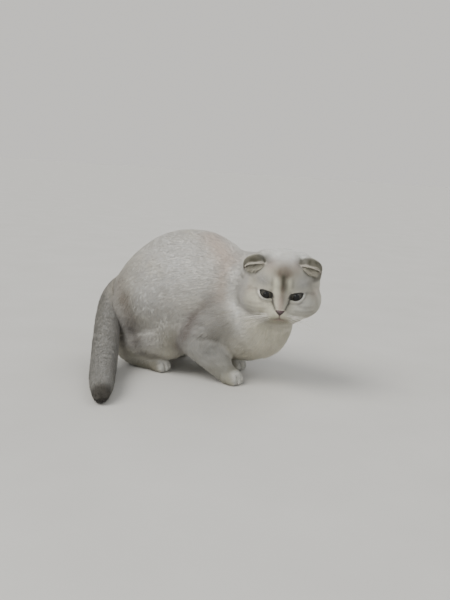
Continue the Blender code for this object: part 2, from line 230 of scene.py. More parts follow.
def add_trunk(work):
    top = BACK_HEIGHT
    low = BELLY_HEIGHT
    wide = TRUNK_HALF_WIDTH
    sections = (
        (0.000, top * 0.545, top * 0.47, wide * 0.12),
        (0.030, top * 0.625, top * 0.34, wide * 0.40),
        (0.090, top * 0.735, top * 0.225, wide * 0.66),
        (0.180, top * 0.855, low * 1.35, wide * 0.86),
        (0.300, top * 0.955, low * 1.05, wide * 0.98),
        (0.420, top * 0.997, low * 1.00, wide * 1.00),
        (0.530, top * 1.000, low * 1.05, wide * 0.97),
        (0.640, top * 0.962, low * 1.08, wide * 0.92),
        (0.760, top * 0.865, low * 1.08, wide * 0.87),
        (0.880, top * 0.725, low * 1.30, wide * 0.78),
        (0.960, top * 0.580, low * 2.05, wide * 0.55),
        (1.000, top * 0.470, low * 3.10, wide * 0.18),
    )
    columns = [ease([s[k] for s in sections], 4) for k in range(4)]
    rings = []
    for share, high, deep, half in zip(*columns):
        x = RUMP_X + (CHEST_X - RUMP_X) * share
        ring = []
        for k in range(56):
            a = 2 * math.pi * k / 56
            rise = math.sin(a)
            ring.append(
                (
                    x,
                    half * math.cos(a) * (1 - EGG * rise),
                    (high + deep) / 2 + (high - deep) / 2 * rise,
                )
            )
        rings.append(ring)
    add_rings(work, rings)


def add_paw(work, toes, turn, width, length):
    x, y = toes
    frame = Matrix.Translation(Vector((x, y, 0.0))) @ Matrix.Rotation(
        math.radians(turn), 4, "Z"
    )
    half = width / 2
    add_blob(work, (-length * 0.62, 0, 0.95), (length * 0.62, half * 0.95, 1.12), frame=frame)
    for k, (across, back) in enumerate(((-0.66, 0.95), (-0.23, 0.66), (0.23, 0.66), (0.66, 0.95))):
        size = TOE_RADIUS * (0.98 if k in (1, 2) else 0.92)
        add_limb(
            work,
            [(-back - 1.0, across * half * 0.86, 0.92), (-back, across * half * 1.02, 0.66)],
            [size * 1.02, size],
            flat=0.96,
            sides=24,
            frame=frame,
        )


def add_foreleg(work, side):
    sign = -1 if side == "right" else 1
    x, y = FORE_TOES[side]
    add_blob(work, (x - 3.6, sign * 3.3, 10.4), (3.2, 2.1, 4.7), (0, 18, 0))
    add_limb(
        work,
        [(x - 2.6, sign * 3.7, 8.6), (x - 5.2, sign * 4.2, 6.6), (x - 6.5, y + sign * 0.75, 5.2)],
        [2.6, 2.6, 2.3],
    )
    add_limb(
        work,
        [
            (x - 6.3, y + sign * 0.7, 5.3),
            (x - 4.9, y + sign * 0.5, 4.1),
            (x - 3.5, y + sign * 0.2, 2.6),
            (x - 2.4, y, 1.4),
        ],
        [2.35, 2.25, 1.85, 1.35],
    )
    add_paw(work, (x, y), 0.0, FORE_PAW_WIDTH, 2.7)


def add_hindleg(work, side):
    sign = -1 if side == "right" else 1
    x, y = HIND_TOES[side]
    knee = x + (0.0 if side == "right" else 0.6)
    add_blob(work, (-5.1, sign * 3.3, 7.5), (5.3, 2.9, 5.7), (0, 20, 0))
    add_blob(work, (knee, sign * 4.3, 5.2), (3.2, 2.2, 3.3), (0, 30, 0))
    add_limb(
        work,
        [(x - 0.6, sign * 4.6, 4.4), (x - 3.6, sign * 4.5, 3.6), (x - 6.3, sign * 4.3, 3.0)],
        [2.35, 2.2, 1.5],
    )
    add_limb(
        work,
        [
            (x - 6.8, y, 1.95),
            (x - 5.0, y, 1.15),
            (x - 2.2, y, 0.98),
        ],
        [1.2, 1.15, 1.15],
    )
    add_paw(work, (x, y), 0.0, HIND_PAW_WIDTH, 2.7)


def add_neck(work):
    add_limb(
        work,
        [(5.4, 0.0, 11.4), (8.2, -0.7, 12.0), (11.3, -2.0, 12.5)],
        [5.0, 4.6, 4.3],
    )
    add_blob(work, (10.2, -1.3, 8.0), (3.7, 4.3, 4.7), (0, 0, -20))


def add_head(work):
    wide = HEAD_HALF_WIDTH
    add_blob(work, (-0.55, 0, 0.75), (4.35, wide * 0.945, 4.0), frame=HEAD)
    add_blob(work, (1.35, 0, 0.95), (3.15, 3.5, 3.25), frame=HEAD)
    for sign in (-1, 1):
        add_blob(
            work,
            (0.35, sign * (wide - 2.75), -1.05),
            (3.1, 2.75, 2.6),
            (0, 0, sign * 12),
            frame=HEAD,
        )
        add_blob(work, (-0.1, sign * 0.15, -1.45), (1.6, 1.75, 1.35), frame=ear_frame(sign))
        add_blob(work, (-0.6, sign * 1.9, 2.2), (2.6, 2.3, 2.3), frame=HEAD)
        add_blob(work, (2.5, sign * 1.75, 1.15), (1.3, 1.3, 0.95), frame=HEAD)
        add_blob(work, (2.55, sign * 2.0, -1.5), (1.5, 1.6, 1.3), frame=HEAD)
        add_blob(
            work, (3.72, sign * 0.76, -2.42), (1.2, 1.0, 0.92), (0, 0, sign * 14), frame=HEAD
        )
    add_limb(
        work,
        [(2.5, 0, 1.6), (3.45, 0, 0.35), (4.15, 0, -0.95), (4.32, 0, -1.8)],
        [1.35, 1.0, 0.78, 0.62],
        sides=28,
        frame=HEAD,
    )
    add_blob(work, (2.9, 0, -2.35), (1.9, 2.2, 1.28), frame=HEAD)
    add_blob(work, (3.3, 0, -3.06), (1.0, 1.1, 0.62), frame=HEAD)
    add_blob(work, (0.4, 0, -2.3), (3.3, 3.6, 2.3), frame=HEAD)


# ---------------------------------------------------------------- mesh helpers
def add_object(name, mesh):
    made = bpy.data.objects.new(name, mesh)
    bpy.context.scene.collection.objects.link(made)
    return made


def new_mesh(name, adders):
    work = bmesh.new()
    for add in adders:
        add(work)
    bmesh.ops.recalc_face_normals(work, faces=work.faces)
    mesh = bpy.data.meshes.new(name)
    work.to_mesh(mesh)
    work.free()
    return mesh


def evaluated_mesh(source):
    bpy.context.view_layer.update()
    graph = bpy.context.evaluated_depsgraph_get()
    return bpy.data.meshes.new_from_object(source.evaluated_get(graph))


def joined(meshes):
    work = bmesh.new()
    for mesh in meshes:
        work.from_mesh(mesh)
    made = bpy.data.meshes.new("joined")
    work.to_mesh(made)
    work.free()
    return made


def fused(meshes, voxel, smoothing):
    made = add_object("fusing", joined(meshes))
    remesh = made.modifiers.new("fuse", "REMESH")
    remesh.mode = "VOXEL"
    remesh.voxel_size = voxel * CM
    if smoothing:
        soften = made.modifiers.new("soften", "SMOOTH")
        soften.factor = 0.5
        soften.iterations = smoothing
    mesh = evaluated_mesh(made)
    bpy.data.objects.remove(made)
    return mesh


def points_of(mesh):
    """Vertex positions in centimetres, in the cat's frame."""
    found = np.empty(len(mesh.vertices) * 3, dtype=np.float32)
    mesh.vertices.foreach_get("co", found)
    return found.reshape(-1, 3).astype(float) / CM


def place_points(mesh, points):
    mesh.vertices.foreach_set("co", (points * CM).astype(np.float32).ravel())
    mesh.update()


def normals_of(mesh):
    found = np.empty(len(mesh.vertices) * 3, dtype=np.float32)
    mesh.vertex_normals.foreach_get("vector", found)
    return found.reshape(-1, 3).astype(float)


def edges_of(mesh):
    found = np.empty(len(mesh.edges) * 2, dtype=np.int32)
    mesh.edges.foreach_get("vertices", found)
    return found.reshape(-1, 2)


def spread(values, edges, times, share=0.5, fixed=None):
    """Evens values out over the mesh's edges."""
    values = np.array(values, dtype=float)
    flat = values.reshape(len(values), -1)
    a, b = edges[:, 0], edges[:, 1]
    count = np.bincount(a, minlength=len(flat)) + np.bincount(b, minlength=len(flat))
    count = np.maximum(count, 1)
    for _ in range(times):
        for k in range(flat.shape[1]):
            column = flat[:, k]
            around = (
                np.bincount(a, weights=column[b], minlength=len(flat))
                + np.bincount(b, weights=column[a], minlength=len(flat))
            ) / count
            mixed = column * (1 - share) + around * share
            if fixed is not None:
                mixed = np.where(fixed, column, mixed)
            flat[:, k] = mixed
    return flat.reshape(values.shape)


def unit(v):
    return v / np.maximum(np.linalg.norm(v, axis=-1, keepdims=True), 1e-9)


def step(low, high, x):
    """0 below low, 1 above high and smooth between. low may be the larger."""
    t = np.clip((x - low) / (high - low), 0, 1)
    return t * t * (3 - 2 * t)


def bump(x, middle, width):
    return np.exp(-(((x - middle) / width) ** 2))


def along_chain(p, chain):
    """Distance to a chain of points, the chain's direction there, and the share of the way along it."""
    chain = np.asarray(chain, dtype=float)
    best = np.full(len(p), 1e9)
    way = np.zeros((len(p), 3))
    share = np.zeros(len(p))
    lengths = np.linalg.norm(np.diff(chain, axis=0), axis=1)
    total = lengths.sum()
    gone = 0.0
    for a, b, length in zip(chain, chain[1:], lengths):
        d = (b - a) / length
        t = np.clip((p - a) @ d, 0, length)
        gap = np.linalg.norm(p - (a + t[:, None] * d), axis=1)
        near = gap < best
        best = np.where(near, gap, best)
        way[near] = d
        share = np.where(near, (gone + t) / total, share)
        gone += length
    return best, way, share


# ---------------------------------------------------------------- which part of the cat a point is on
def chains():
    found = {
        "trunk": ([(-8.0, 0, 8.5), (-5, 0, 10), (0, 0, 10.6), (5, 0, 10), (8.0, -0.3, 8.8)], 6.2),
        "neck": ([(6.5, -0.3, 12.0), (10.0, -1.6, 12.3)], 4.6),
        "chest": ([(10.2, -1.3, 8.4), (9.6, -1.0, 5.8)], 4.3),
        "head": (list(from_head([(-1.0, 0, 0.2), (1.2, 0, -0.4), (3.0, 0, -1.9)])), 4.1),
        "tail": ([tuple(p) for p in smooth_path(TAIL_PATH[1:], 3)], 1.7),
    }
    for side, sign in (("right", -1), ("left", 1)):
        x, y = FORE_TOES[side]
        found["fore_" + side] = (
            [
                (x - 3.6, sign * 3.6, 9.0),
                (x - 5.2, sign * 4.2, 6.8),
                (x - 6.3, y + sign * 0.7, 5.3),
                (x - 4.9, y + sign * 0.5, 4.1),
                (x - 3.5, y + sign * 0.2, 2.6),
                (x - 2.4, y, 1.4),
                (x - 0.8, y, 0.7),
            ],
            1.9,
        )
        x, y = HIND_TOES[side]
        found["hind_" + side] = (
            [
                (-5.5, sign * 3.4, 9.5),
                (x - 0.6, sign * 4.2, 5.6),
                (x - 3.4, sign * 4.5, 3.7),
                (x - 6.3, sign * 4.3, 2.9),
            ],
            2.7,
        )
        found["foot_" + side] = ([(x - 6.9, y, 1.7), (x - 4.5, y, 1.0), (x - 0.8, y, 0.7)], 1.15)
    return found


CHAINS = chains()
REGIONS = list(CHAINS)


def regions_at(p):
    """For each point, how much it belongs to each region, and that region's direction and share."""
    weights = []
    ways = []
    shares = []
    for name in REGIONS:
        chain, size = CHAINS[name]
        gap, way, share = along_chain(p, chain)
        weights.append((np.maximum(gap, 0.2) / size) ** -9.0)
        ways.append(way)
        shares.append(share)
    weights = np.array(weights)
    weights /= weights.sum(axis=0)
    return weights, ways, shares


def cheek_at(h):
    return step(2.6, 4.2, np.abs(h[:, 1])) * step(2.2, 0.2, h[:, 2]) * step(3.6, 1.5, h[:, 0])


def head_depth(h):
    """Depth of the coat on the head, least on the muzzle."""
    depth = 0.12 + 0.18 * step(3.2, -1.2, h[:, 0])
    depth += 0.12 * cheek_at(h)
    depth += 0.1 * step(-2.6, -4.2, h[:, 2]) * step(3.4, 1.8, h[:, 0])
    return depth


def depth_at(p):
    weights, _, shares = regions_at(p)
    depth = np.zeros(len(p))
    for k, name in enumerate(REGIONS):
        t = shares[k]
        if name == "trunk":
            value = 0.31 + 0.08 * step(4.5, 2.5, p[:, 2])
        elif name == "neck":
            value = np.full(len(p), 0.32)
        elif name == "chest":
            value = np.full(len(p), 0.38)
        elif name == "head":
            value = head_depth(to_head(p))
        elif name == "tail":
            value = np.full(len(p), TAIL_COAT)
        elif name.startswith("fore"):
            value = 0.31 - 0.1 * step(0.35, 0.75, t) - 0.09 * step(0.75, 0.95, t)
        elif name.startswith("hind"):
            value = 0.31 - 0.04 * step(0.5, 1.0, t)
        else:
            value = 0.24 - 0.12 * step(0.2, 0.8, t)
        depth += weights[k] * value
    return depth


# ---------------------------------------------------------------- the skin
def make_skin():
    trunk = fused(
        [
            new_mesh(
                "masses",
                [
                    add_trunk,
                    add_neck,
                    lambda w: add_foreleg(w, "right"),
                    lambda w: add_foreleg(w, "left"),
                    lambda w: add_hindleg(w, "right"),
                    lambda w: add_hindleg(w, "left"),
                ],
            )
        ],
        0.2,
        20,
    )
    paws = new_mesh(
        "paws",
        [
            lambda w: add_paw(w, FORE_TOES["right"], 0.0, FORE_PAW_WIDTH, 2.7),
            lambda w: add_paw(w, FORE_TOES["left"], 0.0, FORE_PAW_WIDTH, 2.7),
            lambda w: add_paw(w, HIND_TOES["right"], 0.0, HIND_PAW_WIDTH, 2.7),
            lambda w: add_paw(w, HIND_TOES["left"], 0.0, HIND_PAW_WIDTH, 2.7),
        ],
    )
    face = fused([new_mesh("face", [add_head])], 0.13, 10)
    whole = fused([trunk, paws, face], 0.15, 6)
    points = points_of(whole)
    points[:, 2] -= SINK
    edges = edges_of(whole)
    depth = spread(depth_at(points), edges, 20)
    points -= normals_of(whole) * depth[:, None]
    points = spread(points, edges, 2)
    points[:, 2] = np.maximum(points[:, 2], 0.03)
    place_points(whole, points)
    tail = new_mesh(
        "tail",
        [
            lambda w: add_limb(
                w, TAIL_PATH, [r - TAIL_COAT for r in TAIL_RADII], steps=6, sides=28
            )
        ],
    )
    return fused([whole, tail], 0.15, 2)


def thin_body(mesh, keep):
    """Fewer triangles on the body, with the head and paws left fine."""
    made = add_object("thinning", mesh)
    points = points_of(mesh)
    head = np.linalg.norm(points - HEAD_ORIGIN, axis=1)
    weight = step(5.6, 7.0, head) * step(1.6, 2.6, points[:, 2])
    group = made.vertex_groups.new(name="body")
    levels = np.round(weight * 10).astype(int)
    for level in range(11):
        group.add([int(i) for i in np.nonzero(levels == level)[0]], level / 10, "REPLACE")
    thin = made.modifiers.new("thin", "DECIMATE")
    thin.ratio = keep
    thin.vertex_group = "body"
    thin.use_collapse_triangulate = True
    found = evaluated_mesh(made)
    bpy.data.objects.remove(made)
    return drop_doubled(found)


def drop_doubled(mesh):
    """Takes out each pair of faces that lie on the same points, back to back."""
    work = bmesh.new()
    work.from_mesh(mesh)
    seen = {}
    for face in work.faces:
        seen.setdefault(tuple(sorted(vert.index for vert in face.verts)), []).append(face)
    doubled = [face for faces in seen.values() if len(faces) > 1 for face in faces]
    bmesh.ops.delete(work, geom=doubled, context="FACES_ONLY")
    bmesh.ops.delete(work, geom=[edge for edge in work.edges if not edge.link_faces], context="EDGES")
    bmesh.ops.delete(work, geom=[vert for vert in work.verts if not vert.link_faces], context="VERTS")
    work.to_mesh(mesh)
    work.free()
    return mesh


def refine(mesh, centres, times):
    """Splits the faces near some points."""
    work = bmesh.new()
    work.from_mesh(mesh)
    for radius_share in times:
        at = np.array([tuple(vert.co) for vert in work.verts]) / CM
        inside = np.zeros(len(at), dtype=bool)
        for centre, radius in centres:
            inside |= np.linalg.norm(at - centre, axis=1) < radius * radius_share
        for vert, tag in zip(work.verts, inside.tolist()):
            vert.tag = tag
        near = [edge for edge in work.edges if edge.verts[0].tag and edge.verts[1].tag]
        bmesh.ops.subdivide_edges(work, edges=near, cuts=1, use_grid_fill=True)
    bmesh.ops.triangulate(work, faces=work.faces)
    made = bpy.data.meshes.new("refined")
    work.to_mesh(made)
    work.free()
    return drop_doubled(made)


def eye_space(h, sign):
    """Place over the eyeball: s to the outer corner, t up, both in cm over its surface, and r out."""
    x, y, z = EYE_AT
    d = h - np.array((x, sign * y, z))
    out = d[:, 1] * sign
    c, s = math.cos(math.radians(EYE_SLANT)), math.sin(math.radians(EYE_SLANT))
    across = out * c + d[:, 2] * s
    up = d[:, 2] * c - out * s
    r = np.linalg.norm(d, axis=1)
    a = np.arctan2(across, d[:, 0])
    b = np.arctan2(up, np.hypot(d[:, 0], across))
    return EYE_RADIUS * a, EYE_RADIUS * b, r, d


def lid_gap(s, t):
    """How far outside the opening of the lids a place is. The upper lid hangs low."""
    half = EYE_OPEN_WIDTH / 2
    u = np.clip(s / half, -1, 1)
    arch = np.sqrt(np.maximum(1 - u * u, 0))
    upper = 0.29 * arch * (1 - 0.34 * u)
    lower = -0.34 * arch**1.2 * (1 + 0.1 * u)
    gap = np.maximum(t - upper, lower - t)
    beyond = np.maximum(np.abs(s) - half, 0)
    return np.where(beyond > 0, np.hypot(beyond, t) + 0.0, gap)


def rim_gap(h, sign):
    """How far a place on the finished skin is from the edge of an eye's lids."""
    s, t, r, _ = eye_space(h, sign)
    gap = lid_gap(s, t) + 1.2 * np.maximum(r - EYE_RADIUS - 0.24, 0)
    return np.where((r < 2.6) & (h[:, 0] > 2), gap, 9.0), s, t


def cornea(away):
    """How far the front of the eye stands proud of its ball, by the distance from its middle."""
    return 0.115 * step(0.82, 0.08, away)


def shape_lids(h):
    """Moves head points onto the lids: a rim around the opening and skin behind the ball inside it."""
    for sign in (-1, 1):
        s, t, r, d = eye_space(h, sign)
        front = (d[:, 0] > 0.15) & (r < 2.6)
        gap = lid_gap(s, t)
        middle = EYE_RADIUS * math.radians(GAZE_UP)
        rim = EYE_RADIUS + 0.085 + cornea(np.hypot(s, t - middle))
        inner = step(-0.55, -1.0, s)
        ease_out = step(0.16, 0.85 - 0.42 * inner, gap)
        wall = step(1.2, 1.9, r) * step(-0.45, -0.8, s) * step(0.02, 0.14, gap)
        ease_out = np.maximum(ease_out, wall)
        outside = rim * (1 - ease_out) + np.maximum(r, rim) * ease_out
        inside = EYE_RADIUS - 0.16
        cut = step(-0.035, 0.045, gap)
        target = inside * (1 - cut) + outside * cut
        own = step(0.12, 0.5, h[:, 1] * sign)
        scale = np.where(front, 1 + (target / np.maximum(r, 1e-6) - 1) * own, 1.0)
        x, y, z = EYE_AT
        h = np.array((x, sign * y, z)) + d * scale[:, None]
    return h


def mouth_gap(h):
    """Distance to the line of the mouth, seen from the front, and to the groove under the nose."""
    side = np.abs(h[:, 1])
    line = -2.6 - 0.17 * step(0.0, 0.7, side) + 0.12 * step(0.8, 1.5, side)
    mouth = np.hypot(h[:, 2] - line, np.maximum(side - 1.3, 0))
    groove = np.hypot(h[:, 1], np.maximum(np.abs(h[:, 2] + 2.38) - 0.22, 0))
    return mouth, groove


def shape_face(h, normals):
    """Mouth line and the groove below the nose, pressed into the muzzle."""
    mouth, groove = mouth_gap(h)
    front = step(2.4, 3.2, h[:, 0])
    press = 0.08 * np.exp(-((mouth / 0.1) ** 2)) * front * step(1.5, 0.5, np.abs(h[:, 1]))
    press += 0.11 * np.exp(-((groove / 0.08) ** 2)) * front
    return h - normals * press[:, None]


def head_normals(mesh):
    return normals_of(mesh) @ HEAD_AXES


def united(first, second):
    """The union of two closed meshes."""
    made = add_object("uniting", first)
    other = add_object("added", second)
    union = made.modifiers.new("union", "BOOLEAN")
    union.operation = "UNION"
    union.solver = "MANIFOLD"
    union.object = other
    mesh = evaluated_mesh(made)
    bpy.data.objects.remove(made)
    bpy.data.objects.remove(other)
    work = bmesh.new()
    work.from_mesh(mesh)
    bmesh.ops.triangulate(work, faces=work.faces)
    work.to_mesh(mesh)
    work.free()
    return mesh


# ---------------------------------------------------------------- the ears
EAR_TURN = (-28, 31, 1)
EAR_HALF_WIDTH = 1.44
EAR_THICKNESS = 0.14
EAR_OUT = {-1: 0.36, 1: 0.16}
EAR_BASE = -1.1
EAR_PROFILE = (
    (-1.12, -1.4),
    (-1.08, -0.75),
    (-0.88, -0.14),
    (-0.5, 0.25),
    (-0.08, 0.43),
    (0.26, 0.46),
    (0.52, 0.37),
    (0.68, 0.2),
)


def ear_frame(sign):
    """The ear's own axes: X to the margin of the folded flap, Y out from the crown, Z off the skull."""
    x, y, z = EAR_AT
    place = HEAD @ Matrix.Translation(Vector((x, sign * y, z)))
    for axis, angle, mirrored in zip("XYZ", EAR_TURN, (True, False, True)):
        turn = math.radians(angle * (sign if mirrored else 1))
        place = place @ Matrix.Rotation(turn, 4, axis)
    return place @ Matrix.Translation(Vector((0.0, sign * EAR_OUT[sign], -0.24)))


def to_ear(p, sign):
    place = ear_frame(sign)
    axes = np.array(place.to_3x3())
    found = (np.asarray(p) - np.array(place.translation)) @ axes
    found[..., 1] *= sign
    return found


def ear_way(vector, sign):
    """A direction of the ear's axes, in the cat's."""
    v = Vector((vector[0], vector[1] * sign, vector[2]))
    return np.array(ear_frame(sign).to_3x3() @ v)


def ear_arch(u):
    return np.maximum(1 - np.abs(u) ** 2.8, 0.0) ** 0.55


def ear_reach(u, f):
    """How far the flap reaches at each place across it: far in front by the crown, hardly at its end."""
    ahead = 1.14 - 0.72 * u - 0.3 * u * u - 1.6 * np.maximum(-u - 0.62, 0.0) ** 2
    return np.where(np.asarray(f) > 0, ahead, 1.0 - 0.2 * u * u)


def add_ear(work, sign):
    """A folded flap: a thin cap, closed behind and at its ends, and open under its front margin."""
    place = ear_frame(sign)
    profile = [
        Vector((p.x, 0, p.y)) for p in smooth_path([(f, n, 0) for f, n in EAR_PROFILE], 4)
    ]
    across = 27
    outer = []
    inner = []
    for k in range(across):
        u = -1 + 2 * k / (across - 1)
        arch = float(ear_arch(u))
        wave = 0.03 * math.sin(5.2 * u + 0.8)
        line = []
        for j, p in enumerate(profile):
            share = j / (len(profile) - 1)
            n = EAR_BASE + (p.z - EAR_BASE) * (arch if p.z > EAR_BASE else 1.0)
            line.append(
                Vector(
                    (
                        p.x * float(ear_reach(u, p.x)) + wave * share**3,
                        u * EAR_HALF_WIDTH,
                        n + 0.05 * math.sin(6.1 * u) * share**2 * arch,
                    )
                )
            )
        outer.append(line)
    for k in range(across):
        line = []
        for j in range(len(profile)):
            before = outer[k][max(j - 1, 0)]
            after = outer[k][min(j + 1, len(profile) - 1)]
            left = outer[max(k - 1, 0)][j]
            right = outer[min(k + 1, across - 1)][j]
            normal = (after - before).cross(right - left)
            if normal.length < 1e-6:
                normal = Vector((0, 0, 1))
            normal.normalize()
            if normal.dot(outer[k][j] - Vector((0.0, 0.0, -0.9))) < 0:
                normal = -normal
            share = j / (len(profile) - 1)
            thick = EAR_THICKNESS * (1 - 0.45 * share**3)
            line.append(outer[k][j] - normal * thick)
        inner.append(line)

    def put(p):
        return work.verts.new(place @ Vector((p.x, p.y * sign, p.z)) * CM)

    top = [[put(p) for p in line] for line in outer]
    low = [[put(p) for p in line] for line in inner]
    last = len(profile) - 1
    for k in range(across - 1):
        for j in range(last):
            work.faces.new((top[k][j], top[k + 1][j], top[k + 1][j + 1], top[k][j + 1]))
            work.faces.new((low[k][j], low[k][j + 1], low[k + 1][j + 1], low[k + 1][j]))
        for j, turned in ((0, False), (last, True)):
            ring = (top[k][j], low[k][j], low[k + 1][j], top[k + 1][j])
            work.faces.new(ring[::-1] if turned else ring)
    for j in range(last):
        for k, turned in ((0, True), (across - 1, False)):
            ring = (top[k][j], low[k][j], low[k][j + 1], top[k][j + 1])
            work.faces.new(ring[::-1] if turned else ring)


EAR_LINE = np.array([(p.x, p.y) for p in smooth_path([(f, n, 0) for f, n in EAR_PROFILE], 4)])


def ear_zones(p, normals):
    """How much each point is on the back of a folded ear, on its margin, and in its opening."""
    back = np.zeros(len(p))
    rim = np.zeros(len(p))
    hollow = np.zeros(len(p))
    way = np.zeros((len(p), 3))
    for sign in (-1, 1):
        e = to_ear(p, sign)
        u = e[:, 1] / EAR_HALF_WIDTH
        near = (np.abs(u) < 1.06) & (e[:, 0] > -1.4) & (e[:, 0] < 1.5) & (np.abs(e[:, 2]) < 1.2)
        f = e[:, 0] / ear_reach(np.clip(u, -1, 1), e[:, 0])
        top = np.interp(f, EAR_LINE[3:, 0], EAR_LINE[3:, 1])
        top = EAR_BASE + (top - EAR_BASE) * ear_arch(u)
        below = top - e[:, 2]
        outward = normals @ ear_way((-0.25, 0.0, 1.0), sign)
        over = near & ((below < 0.19) | ((f < -0.8) & (e[:, 2] > -0.7))) & (outward > -0.25)
        over &= f < 0.78
        under = near & ~over & (below >= 0.05) & (f > -0.9) & (f < 0.72) & (ear_arch(u) > 0.2)
        back = np.maximum(back, over * step(-0.75, -0.35, top))
        rim = np.maximum(rim, over * step(0.56, 0.65, f))
        hollow = np.maximum(hollow, under * 1.0)
        way = np.where(over[:, None], ear_way((1.0, 0.15, -0.25), sign), way)
    return back, rim, hollow, way


def beside_ear(p):
    """How surely each point belongs to an ear or to the skull right at it."""
    found = np.zeros(len(p))
    for sign in (-1, 1):
        e = to_ear(p, sign)
        near = step(2.3, 1.8, np.linalg.norm(e * (1.0, 0.9, 1.0), axis=1)) * step(-1.3, -0.8, e[:, 2])
        found = np.maximum(found, near)
    return found


def ear_shade(p):
    """The dark of an ear's back, which grades into the crown beside it and pales behind."""
    found = np.zeros(len(p))
    for sign in (-1, 1):
        e = to_ear(p, sign)
        s = e[:, 1]
        shade = np.exp(-(np.where(s < 0.0, s / 2.05, s / 1.85) ** 6)) * np.exp(-(((e[:, 0] - 0.35) / 1.05) ** 4))
        shade = np.maximum(shade, 0.75 * spot(e, (0.55, -1.55, -0.1), (0.8, 0.62, 0.9)))
        shade *= 0.45 + 0.55 * step(-0.8, 0.0, e[:, 0])
        found = np.maximum(found, shade * (e[:, 2] > -1.3))
    return found


# ---------------------------------------------------------------- noise and colour
def cloud(p, size, seed=1):
    """Smooth noise from -1 to 1, its lumps about size across."""
    q = np.asarray(p) / size + seed * 13.7
    low = np.floor(q)
    f = q - low
    f = f * f * (3 - 2 * f)
    low = low.astype(np.int64)
    total = np.zeros(len(q))
    for dx in (0, 1):
        for dy in (0, 1):
            for dz in (0, 1):
                k = (
                    (low[:, 0] + dx) * 73856093
                    ^ (low[:, 1] + dy) * 19349663
                    ^ (low[:, 2] + dz) * 83492791
                    ^ (seed * 7919)
                ).astype(np.uint64)
                k ^= k >> np.uint64(13)
                k *= np.uint64(0x9E3779B97F4A7C15)
                k ^= k >> np.uint64(32)
                value = (k & np.uint64(0xFFFFFF)).astype(float) / 0xFFFFFF * 2 - 1
                share = (
                    (f[:, 0] if dx else 1 - f[:, 0])
                    * (f[:, 1] if dy else 1 - f[:, 1])
                    * (f[:, 2] if dz else 1 - f[:, 2])
                )
                total += value * share
    return total


def linear(rgb):
    """A colour given as 0 to 255 on a screen, as light."""
    c = np.asarray(rgb, dtype=float) / 255
    return np.where(c < 0.04045, c / 12.92, ((c + 0.055) / 1.055) ** 2.4)


def mixed(colour, rgb, share):
    share = np.clip(share, 0, 1)[:, None]
    return colour * (1 - share) + linear(rgb) * share


def spot(p, centre, radii):
    d = (p - np.array(centre)) / np.array(radii)
    return np.exp(-np.sum(d * d, axis=1))


def facing(h, y, z, wide, tall):
    """A soft spot on the front of the face."""
    return np.exp(-(((h[:, 1] - y) / wide) ** 2) - ((h[:, 2] - z) / tall) ** 2)


def face_line(h, a, b, width):
    """A soft line on the front of the face, from a to b across and up it."""
    return near_line(h[:, 1:], a, b, width)


def near_line(p, a, b, width):
    a, b = np.array(a, dtype=float), np.array(b, dtype=float)
    d = b - a
    t = np.clip((p - a) @ d / (d @ d), 0, 1)
    return np.exp(-((np.linalg.norm(p - a - t[:, None] * d, axis=1) / width) ** 2))


def on_side(m, x, z, wide, tall):
    """A soft spot on the flank, by how far along and how high it is."""
    return np.exp(-(((m[:, 0] - x) / wide) ** 2) - ((m[:, 2] - z) / tall) ** 2) * step(1.2, 3.2, -m[:, 1])


def side_line(m, a, b, width):
    return near_line(m[:, [0, 2]], a, b, width) * step(1.2, 3.2, -m[:, 1])


def toe_gaps(p, width):
    """How near each point is to one of the lines between the toes."""
    found = np.zeros(len(p))
    for toes, paw in ((FORE_TOES, FORE_PAW_WIDTH), (HIND_TOES, HIND_PAW_WIDTH)):
        for x, y in toes.values():
            for across, back in ((-0.46, 0.95), (0.0, 0.8), (0.46, 0.95)):
                line = abs(p[:, 1] - (y + across * paw / 2))
                ahead = p[:, 0] - (x - back)
                on = step(-0.45, 0.2, ahead) * (ahead < 1.6) * step(1.5, 0.8, p[:, 2])
                found = np.maximum(found, np.exp(-((line / width) ** 2)) * on)
    return found


def shape_toes(p, normals):
    """Creases between the toes."""
    return p - normals * (0.21 * toe_gaps(p, 0.17))[:, None] * (normals[:, 2:] > -0.5)


BODY = (201, 198, 190)
PINKISH = (190, 170, 153)
BEIGE = (188, 182, 163)
RUMP = (136, 129, 116)
BROWNISH = (108, 95, 80)
TAIL = (138, 136, 130)
TAIL_DARK = (108, 105, 97)
TAIL_TIP = (66, 62, 55)
LEG = (184, 183, 178)
LEG_DARK = (84, 80, 73)
LEG_LOW = (186, 184, 172)
PAW = (164, 160, 142)
CREAM = (208, 203, 180)
WHITE = (230, 229, 222)
CHEEK = (202, 198, 180)
PATCH = (120, 108, 94)
STRIPE = (68, 64, 49)
TEAR = (38, 33, 26)
EAR_GREY = (74, 71, 57)
EAR_RIM = (216, 209, 194)
EAR_HOLLOW_SHADE = (104, 88, 78)
LID = (20, 17, 16)
NOSE_PINK = (168, 152, 140)


